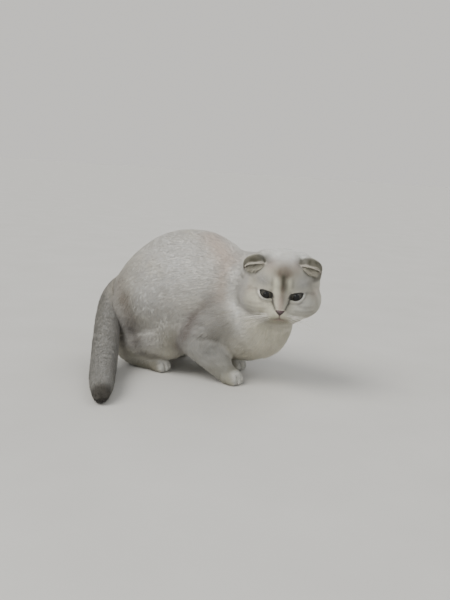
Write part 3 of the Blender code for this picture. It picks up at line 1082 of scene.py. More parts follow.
def colour_at(p, normals, weights, shares):
    """The markings, with painted shade, shadows and highlights, as light, for points of the cat."""
    m = p.copy()
    m[:, 1] = -np.abs(m[:, 1])
    broad = cloud(p, 3.2, 3)
    small = cloud(p, 1.1, 4)
    fine = cloud(p * np.array((1.0, 1.0, 0.45)), 0.34, 5)
    blotch = 0.6 * broad + 0.4 * small
    colour = np.tile(linear(BODY), (len(p), 1))

    # trunk
    # painted highlight: a pale spot high on the flank, where the light falls on the back
    colour = mixed(colour, (210, 209, 206), 0.6 * spot(m, (-1.5, -4.0, 13.4), (4.0, 5.0, 3.6)))
    colour = mixed(colour, BEIGE, 0.6 * step(0.0, 0.9, blotch) * step(4.0, 8.0, p[:, 2]))
    colour = mixed(colour, (172, 166, 148), 0.65 * step(-6.2, -8.6, p[:, 0]) * step(8.0, 11.0, p[:, 2]))
    colour = mixed(colour, PINKISH, 0.7 * near_line(m, (2.5, -1.0, 17.2), (6.0, -3.0, 14.8), 1.5))
    colour = mixed(colour, PINKISH, 0.7 * near_line(m, (6.2, -4.2, 13.6), (6.0, -4.9, 10.6), 1.0))
    # painted shade: the trunk's sides darker low down, and a darker spot low on the flank, as if lit from above
    colour = mixed(colour, (132, 129, 121), 0.45 * step(15.0, 8.0, p[:, 2]) * step(0.9, 0.35, normals[:, 2]))
    colour = mixed(colour, (136, 131, 112), 0.6 * on_side(m, 0.0, 4.4, 1.6, 2.2))
    colour = mixed(colour, CREAM, 0.5 * step(4.6, 2.4, p[:, 2]) * step(0.15, -0.5, normals[:, 2]))
    for a, b, size, share in (
        ((-7.8, 12.3), (-5.0, 12.5), 0.34, 0.42),
        ((-6.9, 13.6), (-4.9, 13.9), 0.3, 0.25),
        ((-7.0, 11.1), (-4.7, 11.3), 0.3, 0.25),
    ):
        colour = mixed(colour, (140, 136, 132), share * side_line(m, a, b, size) * (1 + 0.6 * fine))
    rump = np.maximum(side_line(m, (-9.3, 10.4), (-7.2, 8.5), 1.25), side_line(m, (-7.2, 8.5), (-6.1, 6.8), 0.95))
    colour = mixed(colour, RUMP, 0.6 * step(-6.0, -9.5, p[:, 0]) * step(14.0, 10.0, p[:, 2]))
    colour = mixed(colour, BROWNISH, 0.72 * rump * (1 + 0.35 * small))

    # thigh, knee and belly
    colour = mixed(colour, (210, 209, 205), 0.55 * on_side(m, -3.8, 9.8, 2.0, 2.0))
    # a pinkish-brown patch on the thigh, part marking and part painted shade
    thigh = np.maximum(on_side(m, -6.0, 4.9, 1.6, 1.7), on_side(m, -4.9, 3.8, 1.3, 1.15))
    colour = mixed(colour, (66, 55, 46), 0.95 * thigh * (1 + 0.2 * fine))
    # painted shadow: a dark grey strip on the thigh where the tail lies beside it
    colour = mixed(colour, (104, 98, 90), 0.6 * side_line(m, (-7.9, 6.2), (-7.0, 2.2), 0.75))

    # forelegs
    leg = np.zeros(len(p))
    low = np.zeros(len(p))
    foot = np.zeros(len(p))
    for side in ("right", "left"):
        k = REGIONS.index("fore_" + side)
        leg += weights[k] * step(0.0, 0.12, shares[k])
        low += weights[k] * step(0.6, 0.82, shares[k])
        foot += weights[k] * step(0.82, 0.95, shares[k])
        k = REGIONS.index("foot_" + side)
        foot += weights[k] * step(0.1, 0.5, shares[k])
    # a dark grey patch over the shoulder, part marking and part painted shade
    shoulder = on_side(m, 4.8, 7.4, 2.3, 2.9) * step(2.2, 3.6, p[:, 0])
    colour = mixed(colour, (92, 89, 84), 0.9 * shoulder * (1 - leg) * (1 + 0.2 * small))
    colour = mixed(colour, LEG, 0.88 * leg * (1 + 0.25 * small))
    # behind the elbow: a brown band, part marking and part painted shade
    band = np.maximum(
        0.5 * side_line(m, (4.6, 10.3), (2.9, 8.1), 0.85), side_line(m, (2.8, 7.9), (1.8, 5.6), 1.0)
    )
    band = np.maximum(band, 0.85 * side_line(m, (1.7, 5.4), (1.0, 4.0), 0.9))
    colour = mixed(colour, (74, 59, 50), 0.92 * band * (1 + 0.2 * fine))
    for a, b, width, share in (
        ((3.1, 7.3), (4.4, 7.5), 0.24, 0.6),
        ((3.4, 5.95), (5.9, 5.9), 0.26, 0.75),
        ((4.3, 8.7), (5.6, 8.9), 0.3, 0.35),
        ((3.9, 6.7), (5.4, 6.75), 0.2, 0.35),
        ((4.2, 4.9), (5.8, 4.75), 0.22, 0.4),
        ((4.6, 4.1), (5.8, 4.0), 0.2, 0.45),
        ((5.2, 1.9), (6.9, 2.2), 0.16, 0.55),
        ((5.4, 2.9), (6.9, 3.1), 0.18, 0.3),
    ):
        colour = mixed(colour, LEG_DARK, share * side_line(m, a, b, width) * (1 + 0.6 * fine))
    colour = mixed(colour, LEG_LOW, 0.8 * low)
    colour = mixed(colour, PAW, 0.9 * foot)
    # painted shade: the hind feet darker
    colour = mixed(colour, (140, 136, 120), 0.75 * foot * (p[:, 0] < 3.0))
    # painted shadow: a dark line low on the belly between the legs, and a dark spot by the forefoot
    belly = np.maximum(side_line(m, (-4.6, 2.75), (-1.9, 2.4), 0.42), 0.8 * on_side(m, 1.2, 2.4, 1.2, 0.8))
    colour = mixed(colour, (78, 68, 50), 0.85 * belly)
    toes = np.zeros(len(p))
    for places in (FORE_TOES, HIND_TOES):
        for x, y in places.values():
            near = np.hypot(p[:, 0] - (x - 0.2), p[:, 1] - y)
            toes = np.maximum(toes, step(1.9, 1.2, near) * step(2.0, 1.5, p[:, 2]))
    colour = mixed(colour, WHITE, 0.7 * toes)
    # painted shade in the creases between the toes
    colour = mixed(colour, (70, 60, 50), 0.85 * toe_gaps(p, 0.09))

    # chest and throat
    k = REGIONS.index("chest")
    j = REGIONS.index("neck")
    h = to_head(p)
    colour = mixed(colour, (230, 224, 202), 0.85 * weights[k])
    throat = spot(p, (11.6, -3.4, 8.0), (3.0, 3.0, 2.6))
    colour = mixed(colour, CREAM, 0.8 * throat)
    # painted shade: the neck darker below the head
    colour = mixed(colour, (130, 126, 117), 0.8 * weights[j] * step(15.5, 12.0, p[:, 2]))
    colour = mixed(colour, (140, 136, 128), 0.5 * on_side(m, 6.7, 8.4, 1.3, 1.8))
    ruff = np.maximum(
        near_line(m, (7.3, -4.2, 13.8), (7.6, -4.7, 10.7), 0.75),
        near_line(m, (7.6, -4.7, 10.7), (8.6, -4.8, 7.4), 0.8),
    )
    colour = mixed(colour, WHITE, 0.75 * ruff)

    # tail
    k = REGIONS.index("tail")
    share = shares[k]
    on_tail = step(0.35, 0.75, weights[k])
    colour = mixed(colour, TAIL, 0.97 * on_tail)
    # painted shade: the tail darker along its sides as they turn away, most on one side, and less so low down
    across = normals @ np.array((0.927, 0.375, 0.0))
    dark = 0.75 * step(0.15, -0.75, across) + 0.45 * step(0.55, 0.95, across)
    dark *= 1 - 0.6 * step(10.0, 4.0, p[:, 2])
    colour = mixed(colour, TAIL_DARK, on_tail * dark * (1 + 0.2 * small))
    band = 0.5 + 0.5 * np.sin(share * 46 + 1.2 * broad)
    colour = mixed(colour, TAIL_DARK, 0.12 * on_tail * step(0.5, 1.0, band) * step(0.15, 0.4, share))
    # the outer half brought back toward plain tail grey, which takes back part of that painted shade
    colour = mixed(colour, TAIL, 0.5 * on_tail * step(0.45, 0.65, share))
    colour = mixed(colour, TAIL_TIP, 0.95 * on_tail * step(0.93, 1.0, share + 0.015 * small))

    # head
    k = REGIONS.index("head")
    on_head = np.maximum(step(0.3, 0.7, weights[k]), beside_ear(p))
    face = np.tile(linear(CHEEK), (len(p), 1))
    y, z = h[:, 1], h[:, 2]
    front = step(0.8, 2.2, h[:, 0])
    side = np.abs(y)
    g = h * np.array((1, 1, 1.0))
    g[:, 1] = side
    face = mixed(face, WHITE, 0.95 * step(2.8, 3.8, z) * step(3.6, 2.4, side))
    # painted shade: the chin darker, a greenish olive
    face = mixed(face, (158, 154, 128), 0.7 * facing(h, 0, -2.9, 2.4, 0.9) * front)
    # a white ruff at the back of the head; the extra white on the cat's left side (y > 0) is painted light
    face = mixed(face, WHITE, (0.3 + 0.2 * (y > 0)) * step(0.9, -0.6, h[:, 0]))
    # painted shade under the jaw
    face = mixed(face, BEIGE, 0.45 * step(-2.9, -3.8, z) * step(0.5, 2.0, h[:, 0]))
    face = mixed(face, (172, 157, 145), 0.75 * facing(g, 1.55, 3.3, 0.75, 0.7) * front)
    # painted shade on the brow on the cat's right, painted light on the brow and cheek on its left
    face = mixed(face, (140, 138, 136), 0.8 * facing(h, -2.3, 1.5, 1.1, 0.85) * front)
    face = mixed(face, (184, 183, 182), 0.65 * facing(h, 2.3, 1.5, 1.1, 0.85) * front)
    face = mixed(face, WHITE, 0.65 * facing(h, 2.6, -1.2, 1.4, 1.4) * front)
    face = mixed(face, (124, 114, 110), 0.5 * facing(g, 3.75, 1.55, 0.5, 0.3) * (1 + 0.5 * fine))
    face = mixed(face, (180, 163, 146), 0.55 * facing(g, 3.9, 0.15, 0.65, 0.5))
    face = mixed(face, BROWNISH, 0.5 * face_line(g, (2.75, 0.3), (3.8, 0.05), 0.11))
    for a, b, share, width in (
        ((2.0, -1.15), (3.6, -1.45), 0.4, 0.15),
        ((1.7, -1.72), (3.8, -2.0), 0.42, 0.13),
        ((3.0, -2.55), (4.2, -2.3), 0.25, 0.16),
        ((2.9, 1.3), (4.0, 0.7), 0.3, 0.2),
    ):
        face = mixed(face, (136, 128, 110), share * face_line(g, a, b, width) * (1 + 0.4 * fine))
    # between the eyes
    patch = np.clip(1.15 * facing(h, 0.06, 2.56, 1.2, 0.6), 0, 0.95) * (1 + 0.25 * fine)
    face = mixed(face, (138, 126, 110), 0.7 * facing(h, 0.06, 3.2, 0.9, 0.55) * front)
    face = mixed(face, PATCH, patch * front)
    face = mixed(face, (214, 212, 190), 0.85 * face_line(g, (0.76, 1.85), (0.74, 0.7), 0.2) * front)
    face = mixed(face, STRIPE, 0.32 * face_line(g, (1.18, 1.95), (1.2, 1.1), 0.16) * front)
    face = mixed(face, STRIPE, 0.97 * face_line(h, (0.06, 2.2), (0.08, 0.95), 0.38) * front)
    face = mixed(face, PATCH, 0.7 * face_line(h, (0.08, 0.9), (0.05, -0.3), 0.36) * front)
    face = mixed(face, NOSE_PINK, 0.75 * face_line(h, (0.0, -0.45), (0.0, -1.35), 0.36) * front)
    mouth, _ = mouth_gap(h)
    muzzle = front * (side < 2.1)
    # painted shadow under the nose, at the middle of the mouth
    face = mixed(face, (128, 110, 104), 0.7 * facing(h, 0, -2.72, 0.95, 0.2) * front)
    face = mixed(face, (104, 86, 78), 0.75 * step(1.15, 0.1, side) * np.exp(-((mouth / 0.11) ** 2)) * muzzle)
    # painted shade in the groove below the nose
    face = mixed(face, (104, 84, 78), 0.8 * face_line(h, (0, -2.2), (0, -2.6), 0.1) * front)
    for sign in (-1, 1):
        gap, s, t = rim_gap(h, sign)
        below = step(0.05, -0.2, t)
        white = below * step(-0.8, -0.45, s)
        # painted shade along the crease below the lower lid
        face = mixed(face, (136, 128, 118), 0.65 * bump(gap, 0.66, 0.12) * below)
        face = mixed(face, (238, 237, 232), 0.75 * bump(gap, 0.27, 0.14) * white)
        face = mixed(face, (150, 142, 132), 0.4 * bump(gap, 0.26, 0.12) * (1 - below))
        face = mixed(face, LID, step(0.14 + 0.06 * (1 - below), 0.07 + 0.04 * (1 - below), gap))
    face = mixed(face, TEAR, 0.95 * face_line(g, (1.0, -0.36), (0.84, -0.98), 0.13) * front)
    face = mixed(face, (62, 58, 46), 0.85 * face_line(g, (0.84, -0.98), (0.62, -1.5), 0.17) * front)
    back, rim, hollow, _ = ear_zones(p, normals)
    face = mixed(face, EAR_GREY, 0.92 * ear_shade(p) * (1 + 0.15 * fine) * (1 - hollow))
    face = mixed(face, EAR_RIM, 0.9 * rim)
    # painted shade: the opening under each ear's flap dark
    face = mixed(face, EAR_HOLLOW_SHADE, hollow)
    colour = colour * (1 - on_head[:, None]) + face * on_head[:, None]

    tone = 1 + 0.035 * broad + 0.045 * small + 0.06 * fine
    return np.clip(colour * tone[:, None], 0.004, 0.9)


# ---------------------------------------------------------------- the lie of the coat
def lie_at(p, normals, weights, ways, edges):
    """The way the hair lies, along the surface, from the nose to the tail and down the legs."""
    down = np.array((0, 0, -1.0))
    flow = np.zeros((len(p), 3))
    side = 1 - np.clip(normals[:, 2], 0, 1)
    for k, name in enumerate(REGIONS):
        way = ways[k]
        if name == "trunk":
            value = -unit(way) + down * (0.15 + 0.55 * side)[:, None]
            behind = step(-8.5, -10.5, p[:, 0])
            value = value * (1 - behind)[:, None] + down * behind[:, None]
        elif name == "neck":
            value = -unit(way) + down * (0.1 + 0.5 * side)[:, None]
        elif name == "chest":
            value = np.tile(down, (len(p), 1)) + np.array((-0.35, 0, 0))
        elif name == "head":
            h = to_head(p)
            out = h - np.array((3.9, 0.0, -1.75))
            out[:, 0] -= 0.9
            out[:, 2] -= 0.8 * step(1.5, -1.5, h[:, 0])
            value = unit(out) @ HEAD_AXES.T
        elif name.startswith("fore"):
            value = unit(way) + np.array((-0.25, 0, 0)) * step(8.0, 3.0, p[:, 2])[:, None]
        elif name.startswith("hind"):
            value = unit(way) * 0.8 + down * 0.55
        else:
            value = unit(way)
        flow += weights[k][:, None] * value
    back, _, _, ear = ear_zones(p, normals)
    on_ear = back > 0.3
    flow = np.where(on_ear[:, None], ear, flow)

    def along(v):
        return unit(v - np.sum(v * normals, axis=1)[:, None] * normals)

    flow = along(flow)
    for _ in range(5):
        flow = along(spread(flow, edges, 5, 0.6, on_ear))
    return flow


def coat_size(p, h, weights, shares):
    """Length and width of the tufts, and how many there are on a square centimetre."""
    length = np.zeros(len(p))
    width = np.zeros(len(p))
    many = np.zeros(len(p))
    for k, name in enumerate(REGIONS):
        t = shares[k]
        one = np.ones(len(p))
        if name == "trunk":
            a, b, c = 1.3 * one, 0.088 * one, 146 * one
        elif name == "neck":
            a, b, c = 1.3 * one, 0.086 * one, 155 * one
        elif name == "chest":
            a, b, c = 1.35 * one, 0.086 * one, 165 * one
        elif name == "head":
            far = step(2.6, 0.2, h[:, 0])
            a = 0.28 + 0.5 * far + 0.3 * cheek_at(h)
            b = 0.045 + 0.027 * far
            c = 380 - 180 * far
        elif name == "tail":
            a, b, c = 1.2 * one, 0.09 * one, 236 * one
        elif name.startswith("fore"):
            low = step(0.3, 0.7, t)
            a = 1.1 - 0.65 * low
            b = 0.084 - 0.03 * low
            c = 160 + 60 * low
        elif name.startswith("hind"):
            a = 1.25 - 0.4 * step(0.5, 1.0, t)
            b, c = 0.086 * one, 155 * one
        else:
            a, b, c = 0.4 * one, 0.054 * one, 220 * one
        length += weights[k] * a
        width += weights[k] * b
        many += weights[k] * c
    return length, width, many


# ---------------------------------------------------------------- materials
def start_material(name, roughness):
    look = bpy.data.materials.new(name)
    look.use_nodes = True
    nodes = look.node_tree.nodes
    shader = nodes["Principled BSDF"]
    shader.inputs["Roughness"].default_value = roughness
    return look, nodes, look.node_tree.links, shader


def fur_material(name, rough, sheen, grain, depth, contrast):
    """Hair: the markings and painted shade from the mesh, broken up by fine grain, with a soft bump."""
    look, nodes, links, shader = start_material(name, rough)
    marks = nodes.new("ShaderNodeAttribute")
    marks.attribute_name = "Col"
    place = nodes.new("ShaderNodeTexCoord")
    hair = nodes.new("ShaderNodeTexNoise")
    hair.inputs["Scale"].default_value = grain
    hair.inputs["Detail"].default_value = 3.0
    hair.inputs["Roughness"].default_value = 0.65
    links.new(place.outputs["Object"], hair.inputs["Vector"])
    tone = nodes.new("ShaderNodeMapRange")
    tone.inputs["From Min"].default_value = 0.25
    tone.inputs["From Max"].default_value = 0.75
    tone.inputs["To Min"].default_value = 1.0 - contrast
    tone.inputs["To Max"].default_value = 1.0 + contrast
    links.new(hair.outputs["Fac"], tone.inputs["Value"])
    times = nodes.new("ShaderNodeVectorMath")
    times.operation = "SCALE"
    links.new(marks.outputs["Color"], times.inputs[0])
    links.new(tone.outputs["Result"], times.inputs["Scale"])
    links.new(times.outputs["Vector"], shader.inputs["Base Color"])
    bumps = nodes.new("ShaderNodeBump")
    bumps.inputs["Strength"].default_value = depth
    bumps.inputs["Distance"].default_value = 0.0005
    links.new(hair.outputs["Fac"], bumps.inputs["Height"])
    links.new(bumps.outputs["Normal"], shader.inputs["Normal"])
    shader.inputs["Sheen Weight"].default_value = sheen
    shader.inputs["Sheen Roughness"].default_value = 0.6
    shader.inputs["Sheen Tint"].default_value = (1.0, 0.97, 0.92, 1.0)
    shader.inputs["Specular IOR Level"].default_value = 0.22
    return look


def eye_material():
    """Iris and pupil from the place on the ball, under a wet clear coat."""
    look, nodes, links, shader = start_material("eye_ball", 0.28)
    place = nodes.new("ShaderNodeAttribute")
    place.attribute_name = "Gaze"
    parts = nodes.new("ShaderNodeSeparateXYZ")
    links.new(place.outputs["Vector"], parts.inputs["Vector"])

    def mathed(kind, a, b=None):
        node = nodes.new("ShaderNodeMath")
        node.operation = kind
        for socket, value in zip(node.inputs, (a, b)):
            if value is None:
                continue
            if isinstance(value, (int, float)):
                socket.default_value = value
            else:
                links.new(value, socket)
        return node.outputs[0]

    def ranged(value, low, high, to_low=0.0, to_high=1.0):
        node = nodes.new("ShaderNodeMapRange")
        node.interpolation_type = "SMOOTHSTEP"
        node.inputs["From Min"].default_value = low
        node.inputs["From Max"].default_value = high
        node.inputs["To Min"].default_value = to_low
        node.inputs["To Max"].default_value = to_high
        links.new(value, node.inputs["Value"])
        return node.outputs["Result"]

    def mix(share, a, b):
        node = nodes.new("ShaderNodeMix")
        node.data_type = "RGBA"
        if isinstance(share, float):
            node.inputs["Factor"].default_value = share
        else:
            links.new(share, node.inputs["Factor"])
        for index, value in ((6, a), (7, b)):
            if isinstance(value, tuple):
                node.inputs[index].default_value = (*linear(value), 1.0)
            else:
                links.new(value, node.inputs[index])
        return node.outputs[2]

    across, up = parts.outputs["X"], parts.outputs["Y"]
    radius = mathed("SQRT", mathed("ADD", mathed("MULTIPLY", across, across), mathed("MULTIPLY", up, up)))
    wide = mathed("MULTIPLY", across, 1.22)
    slit = mathed("SQRT", mathed("ADD", mathed("MULTIPLY", wide, wide), mathed("MULTIPLY", up, up)))
    angle = mathed("ARCTAN2", up, across)
    rays = nodes.new("ShaderNodeCombineXYZ")
    links.new(mathed("MULTIPLY", mathed("COSINE", angle), 3.0), rays.inputs["X"])
    links.new(mathed("MULTIPLY", mathed("SINE", angle), 3.0), rays.inputs["Y"])
    links.new(mathed("MULTIPLY", radius, 0.8), rays.inputs["Z"])
    fibre = nodes.new("ShaderNodeTexNoise")
    fibre.inputs["Scale"].default_value = 4.5
    fibre.inputs["Detail"].default_value = 4.0
    fibre.inputs["Roughness"].default_value = 0.7
    links.new(rays.outputs["Vector"], fibre.inputs["Vector"])
    iris = mix(ranged(fibre.outputs["Fac"], 0.3, 0.72), (44, 44, 41), (78, 76, 70))
    iris = mix(ranged(radius, 0.34, 0.62, 0.5, 0.0), iris, (70, 66, 56))
    iris = mix(ranged(radius, 0.6, 0.82), iris, (22, 20, 19))
    ball = mix(ranged(radius, 0.78, 0.84), iris, (92, 80, 72))
    ball = mix(ranged(slit, 0.47, 0.4), ball, (4, 4, 5))
    links.new(ball, shader.inputs["Base Color"])
    shader.inputs["Coat Weight"].default_value = 1.0
    shader.inputs["Coat Roughness"].default_value = 0.03
    shader.inputs["Coat IOR"].default_value = 1.38
    shader.inputs["Specular IOR Level"].default_value = 0.08
    return look


def nose_material():
    look, nodes, links, shader = start_material("nose_leather", 0.46)
    marks = nodes.new("ShaderNodeAttribute")
    marks.attribute_name = "Col"
    place = nodes.new("ShaderNodeTexCoord")
    pebbles = nodes.new("ShaderNodeTexVoronoi")
    pebbles.feature = "F1"
    pebbles.inputs["Scale"].default_value = 1700.0
    links.new(place.outputs["Object"], pebbles.inputs["Vector"])
    mottle = nodes.new("ShaderNodeTexNoise")
    mottle.inputs["Scale"].default_value = 420.0
    mottle.inputs["Detail"].default_value = 3.0
    links.new(place.outputs["Object"], mottle.inputs["Vector"])
    tone = nodes.new("ShaderNodeMapRange")
    tone.inputs["To Min"].default_value = 0.78
    tone.inputs["To Max"].default_value = 1.2
    links.new(mottle.outputs["Fac"], tone.inputs["Value"])
    times = nodes.new("ShaderNodeVectorMath")
    times.operation = "SCALE"
    links.new(marks.outputs["Color"], times.inputs[0])
    links.new(tone.outputs["Result"], times.inputs["Scale"])
    links.new(times.outputs["Vector"], shader.inputs["Base Color"])
    bumps = nodes.new("ShaderNodeBump")
    bumps.inputs["Strength"].default_value = 0.4
    bumps.inputs["Distance"].default_value = 0.00012
    links.new(pebbles.outputs["Distance"], bumps.inputs["Height"])
    links.new(bumps.outputs["Normal"], shader.inputs["Normal"])
    shader.inputs["Coat Weight"].default_value = 0.22
    shader.inputs["Coat Roughness"].default_value = 0.3
    return look


def whisker_material():
    look, nodes, links, shader = start_material("whisker_hair", 0.38)
    place = nodes.new("ShaderNodeTexCoord")
    streak = nodes.new("ShaderNodeTexNoise")
    streak.inputs["Scale"].default_value = 180.0
    links.new(place.outputs["Object"], streak.inputs["Vector"])
    ramp = nodes.new("ShaderNodeValToRGB")
    ramp.color_ramp.elements[0].position = 0.3
    ramp.color_ramp.elements[0].color = (*linear((214, 208, 194)), 1)
    ramp.color_ramp.elements[1].position = 0.7
    ramp.color_ramp.elements[1].color = (*linear((246, 244, 238)), 1)
    links.new(streak.outputs["Fac"], ramp.inputs["Fac"])
    links.new(ramp.outputs["Color"], shader.inputs["Base Color"])
    return look


def floor_material():
    look, nodes, links, shader = start_material("pale_floor", 0.82)
    place = nodes.new("ShaderNodeTexCoord")
    grain = nodes.new("ShaderNodeTexNoise")
    grain.inputs["Scale"].default_value = 9.0
    grain.inputs["Detail"].default_value = 5.0
    links.new(place.outputs["Object"], grain.inputs["Vector"])
    ramp = nodes.new("ShaderNodeValToRGB")
    ramp.color_ramp.elements[0].position = 0.3
    ramp.color_ramp.elements[0].color = (*linear((206, 204, 198)), 1)
    ramp.color_ramp.elements[1].position = 0.7
    ramp.color_ramp.elements[1].color = (*linear((211, 209, 203)), 1)
    links.new(grain.outputs["Fac"], ramp.inputs["Fac"])
    links.new(ramp.outputs["Color"], shader.inputs["Base Color"])
    shader.inputs["Specular IOR Level"].default_value = 0.0
    return look


# ---------------------------------------------------------------- tufts
def paint(mesh, colours):
    layer = mesh.color_attributes.new(name="Col", type="FLOAT_COLOR", domain="POINT")
    rgba = np.ones((len(colours), 4), dtype=np.float32)
    rgba[:, :3] = colours
    layer.data.foreach_set("color", rgba.ravel())


def raw_mesh(name, points, faces):
    """A mesh from points in the model's frame, in metres, and triangles."""
    mesh = bpy.data.meshes.new(name)
    mesh.vertices.add(len(points))
    mesh.vertices.foreach_set("co", points.astype(np.float32).ravel())
    mesh.loops.add(faces.size)
    mesh.loops.foreach_set("vertex_index", faces.astype(np.int32).ravel())
    mesh.polygons.add(len(faces))
    mesh.polygons.foreach_set("loop_start", np.arange(0, faces.size, 3, dtype=np.int32))
    mesh.update(calc_edges=True)
    return mesh


def unwrap(points, faces):
    """Lays out part of the skin flat; gives each corner's place in the unit square."""
    used, index = np.unique(faces, return_inverse=True)
    mesh = raw_mesh("laying_out", points[used] * CM, index.reshape(-1, 3))
    mesh.uv_layers.new(name="OFBake")
    made = add_object("laying_out", mesh)
    for other in bpy.context.selected_objects:
        other.select_set(False)
    bpy.context.view_layer.objects.active = made
    made.select_set(True)
    bpy.ops.object.mode_set(mode="EDIT")
    bpy.ops.mesh.select_all(action="SELECT")
    bpy.ops.uv.smart_project(angle_limit=math.radians(72), island_margin=0.006)
    bpy.ops.object.mode_set(mode="OBJECT")
    found = np.empty(len(mesh.loops) * 2, dtype=np.float32)
    made.data.uv_layers["OFBake"].data.foreach_get("uv", found)
    bpy.data.objects.remove(made)
    return found.reshape(-1, 3, 2).astype(float)


LONG_SHAPE = np.array(((0, 3, 1), (0, 2, 3), (0, 1, 2), (1, 3, 4), (3, 2, 4), (2, 1, 4)))
SHORT_SHAPE = np.array(((0, 2, 3), (2, 1, 3), (1, 0, 3), (0, 1, 2)))
LONG_PATCH = np.array(((0, -1), (-1, 0), (1, 0), (0, 0.2), (0, 1))) * 0.0015
SHORT_PATCH = np.array(((-1, -1), (1, -1), (0, -1), (0, 1))) * 0.0015


def grow(name, surface, chosen, short, seed, thin=1.0, look=None):
    """Grows one piece of the coat on the chosen faces of the skin."""
    random = np.random.default_rng(seed)
    faces = surface["faces"][chosen]
    p = surface["points"]
    corners = p[faces]
    areas = 0.5 * np.linalg.norm(
        np.cross(corners[:, 1] - corners[:, 0], corners[:, 2] - corners[:, 0]), axis=1
    )
    many = surface["many"][faces].mean(axis=1) * thin * areas
    bare = surface["bare"][faces].max(axis=1)
    many = np.where(bare > 0.5, 0, many)
    total = int(min(many.sum(), 49000 if short else 33000))
    print(name, "area", round(areas.sum()), "tufts", total, "wanted", int(many.sum()))
    ends = np.cumsum(many)
    picks = (np.arange(total) + random.random(total)) / total * ends[-1]
    face = np.minimum(np.searchsorted(ends, picks), len(faces) - 1)
    a, b = random.random(total), random.random(total)
    root = np.sqrt(a)
    shares = np.stack((1 - root, root * (1 - b), root * b), axis=1)
    placed = unwrap(p, faces)[face]
    uv = np.clip(np.einsum("nk,nkc->nc", shares, placed), 0.003, 0.997)
    face = faces[face]

    def at(values):
        if values.ndim == 1:
            return np.einsum("nk,nk->n", shares, values[face])
        return np.einsum("nk,nkc->nc", shares, values[face])

    start = at(p)
    normal = unit(at(surface["normals"]))
    way = at(surface["flow"])
    way = unit(way - np.sum(way * normal, axis=1)[:, None] * normal)
    colour = at(surface["colours"])
    depth = at(surface["depth"])
    length = at(surface["length"]) * (0.78 + 0.44 * random.random(total))
    width = at(surface["width"]) * (0.75 + 0.5 * random.random(total))
    clump = cloud(start, 0.9, 11)
    locks = cloud(start, 0.38, 12)
    length *= 1 + 0.14 * clump
    turn = 0.22 * clump + 0.15 * locks + 0.12 * random.standard_normal(total)
    side = np.cross(normal, way)
    way = way * np.cos(turn)[:, None] + side * np.sin(turn)[:, None]
    side = np.cross(normal, way)
    tree = surface["tree"]

    def over(target, rise):
        """The place above the skin nearest to a target, the way up there and the skin's colour."""
        found = np.empty_like(target)
        upward = np.empty_like(target)
        tint = np.empty_like(target)
        for i in range(len(target)):
            spot_at, _, index, _ = tree.find_nearest(target[i])
            found[i] = spot_at
            upward[i] = surface["face_normals"][index]
            tint[i] = surface["face_colours"][index]
        upward = unit(upward + 0.6 * normal)
        return found + upward * rise[:, None], upward, tint

    layer_at = random.random(total) ** 0.6
    lift = depth * (0.26 + 0.56 * layer_at + (0.1 * clump + 0.06 * locks) * layer_at)
    tip, tip_up, tip_tint = over(start + way * length[:, None], lift)
    loose = (at(surface["loose"]) * random.random(total) ** 2)[:, None]
    tip = tip * (1 - loose) + (start + way * length[:, None] + normal * lift[:, None]) * loose
    base = start - normal * 0.03
    half = width[:, None] / 2
    if short:
        points = np.stack(
            (base + side * half, base - side * half, base + normal * (0.03 + 0.4 * half), tip),
            axis=1,
        )
        up = np.stack(
            (
                unit(normal + 0.55 * side),
                unit(normal - 0.55 * side),
                normal,
                unit(tip_up),
            ),
            axis=1,
        )
        shape, patch, below = SHORT_SHAPE, SHORT_PATCH, (2,)
        # painted shade and light along each tuft: roots a touch darker, tip a touch paler
        tones = (0.97, 0.97, 0.99, 1.02)
        tints = np.stack((colour, colour, colour, 0.5 * (colour + tip_tint)), axis=1)
    else:
        middle, middle_up, middle_tint = over(
            start + way * (length * 0.46)[:, None],
            lift * (0.66 + 0.2 * random.random(total)) + 0.02 * locks,
        )
        across = unit(np.cross(middle_up, tip - base))
        points = np.stack(
            (
                base,
                middle + across * half - middle_up * half * 0.12,
                middle - across * half - middle_up * half * 0.12,
                middle + middle_up * half * 0.34,
                tip,
            ),
            axis=1,
        )
        up = np.stack(
            (
                normal,
                unit(middle_up + 0.5 * across),
                unit(middle_up - 0.5 * across),
                middle_up,
                unit(tip_up),
            ),
            axis=1,
        )
        shape, patch, below = LONG_SHAPE, LONG_PATCH, (2, 5)
        # painted light: each tuft's tip a touch paler
        tones = (1.0, 1.0, 1.0, 1.0, 1.02)
        tints = 0.6 * middle_tint + 0.4 * tip_tint
        tints = np.stack((middle_tint, middle_tint, middle_tint, middle_tint, tints), axis=1)
    points[..., 2] = np.maximum(points[..., 2], 0.02 + 0.01 * np.arange(points.shape[1]))
    own = 1 + 0.045 * random.standard_normal(total) + 0.04 * locks + 0.03 * clump
    warm = 1 + 0.012 * random.standard_normal((total, 1)) * np.array(((1.0, 0.0, -1.4),))
    colours = tints * (own[:, None] * np.array(tones))[..., None] * warm[:, None, :]
    up += 0.06 * random.standard_normal((total, 1, 3))
    up = unit(up)

    count = points.shape[1]
    faces_made = (shape[None] + count * np.arange(total)[:, None, None]).reshape(-1, 3)
    mesh = raw_mesh(name, (points.reshape(-1, 3) + SHIFT) * CM, faces_made)
    layer = mesh.uv_layers.new(name="OFBake")
    places = (uv[:, None, None, :] + patch[shape][None]).reshape(-1, 2)
    layer.data.foreach_set("uv", places.astype(np.float32).ravel())
    paint(mesh, np.clip(colours.reshape(-1, 3), 0.003, 0.92))
    mesh.shade_smooth()
    shading = up[np.arange(total)[:, None, None], shape[None]]
    ahead = unit(tip - base)[:, None, None, :]
    shading[:, below] = unit(0.5 * shading[:, below] + ahead)
    layer = mesh.attributes.new(name="custom_normal", type="FLOAT_VECTOR", domain="CORNER")
    layer.data.foreach_set("vector", shading.astype(np.float32).ravel())
    mesh.materials.append(look)
    return add_object(name, mesh)


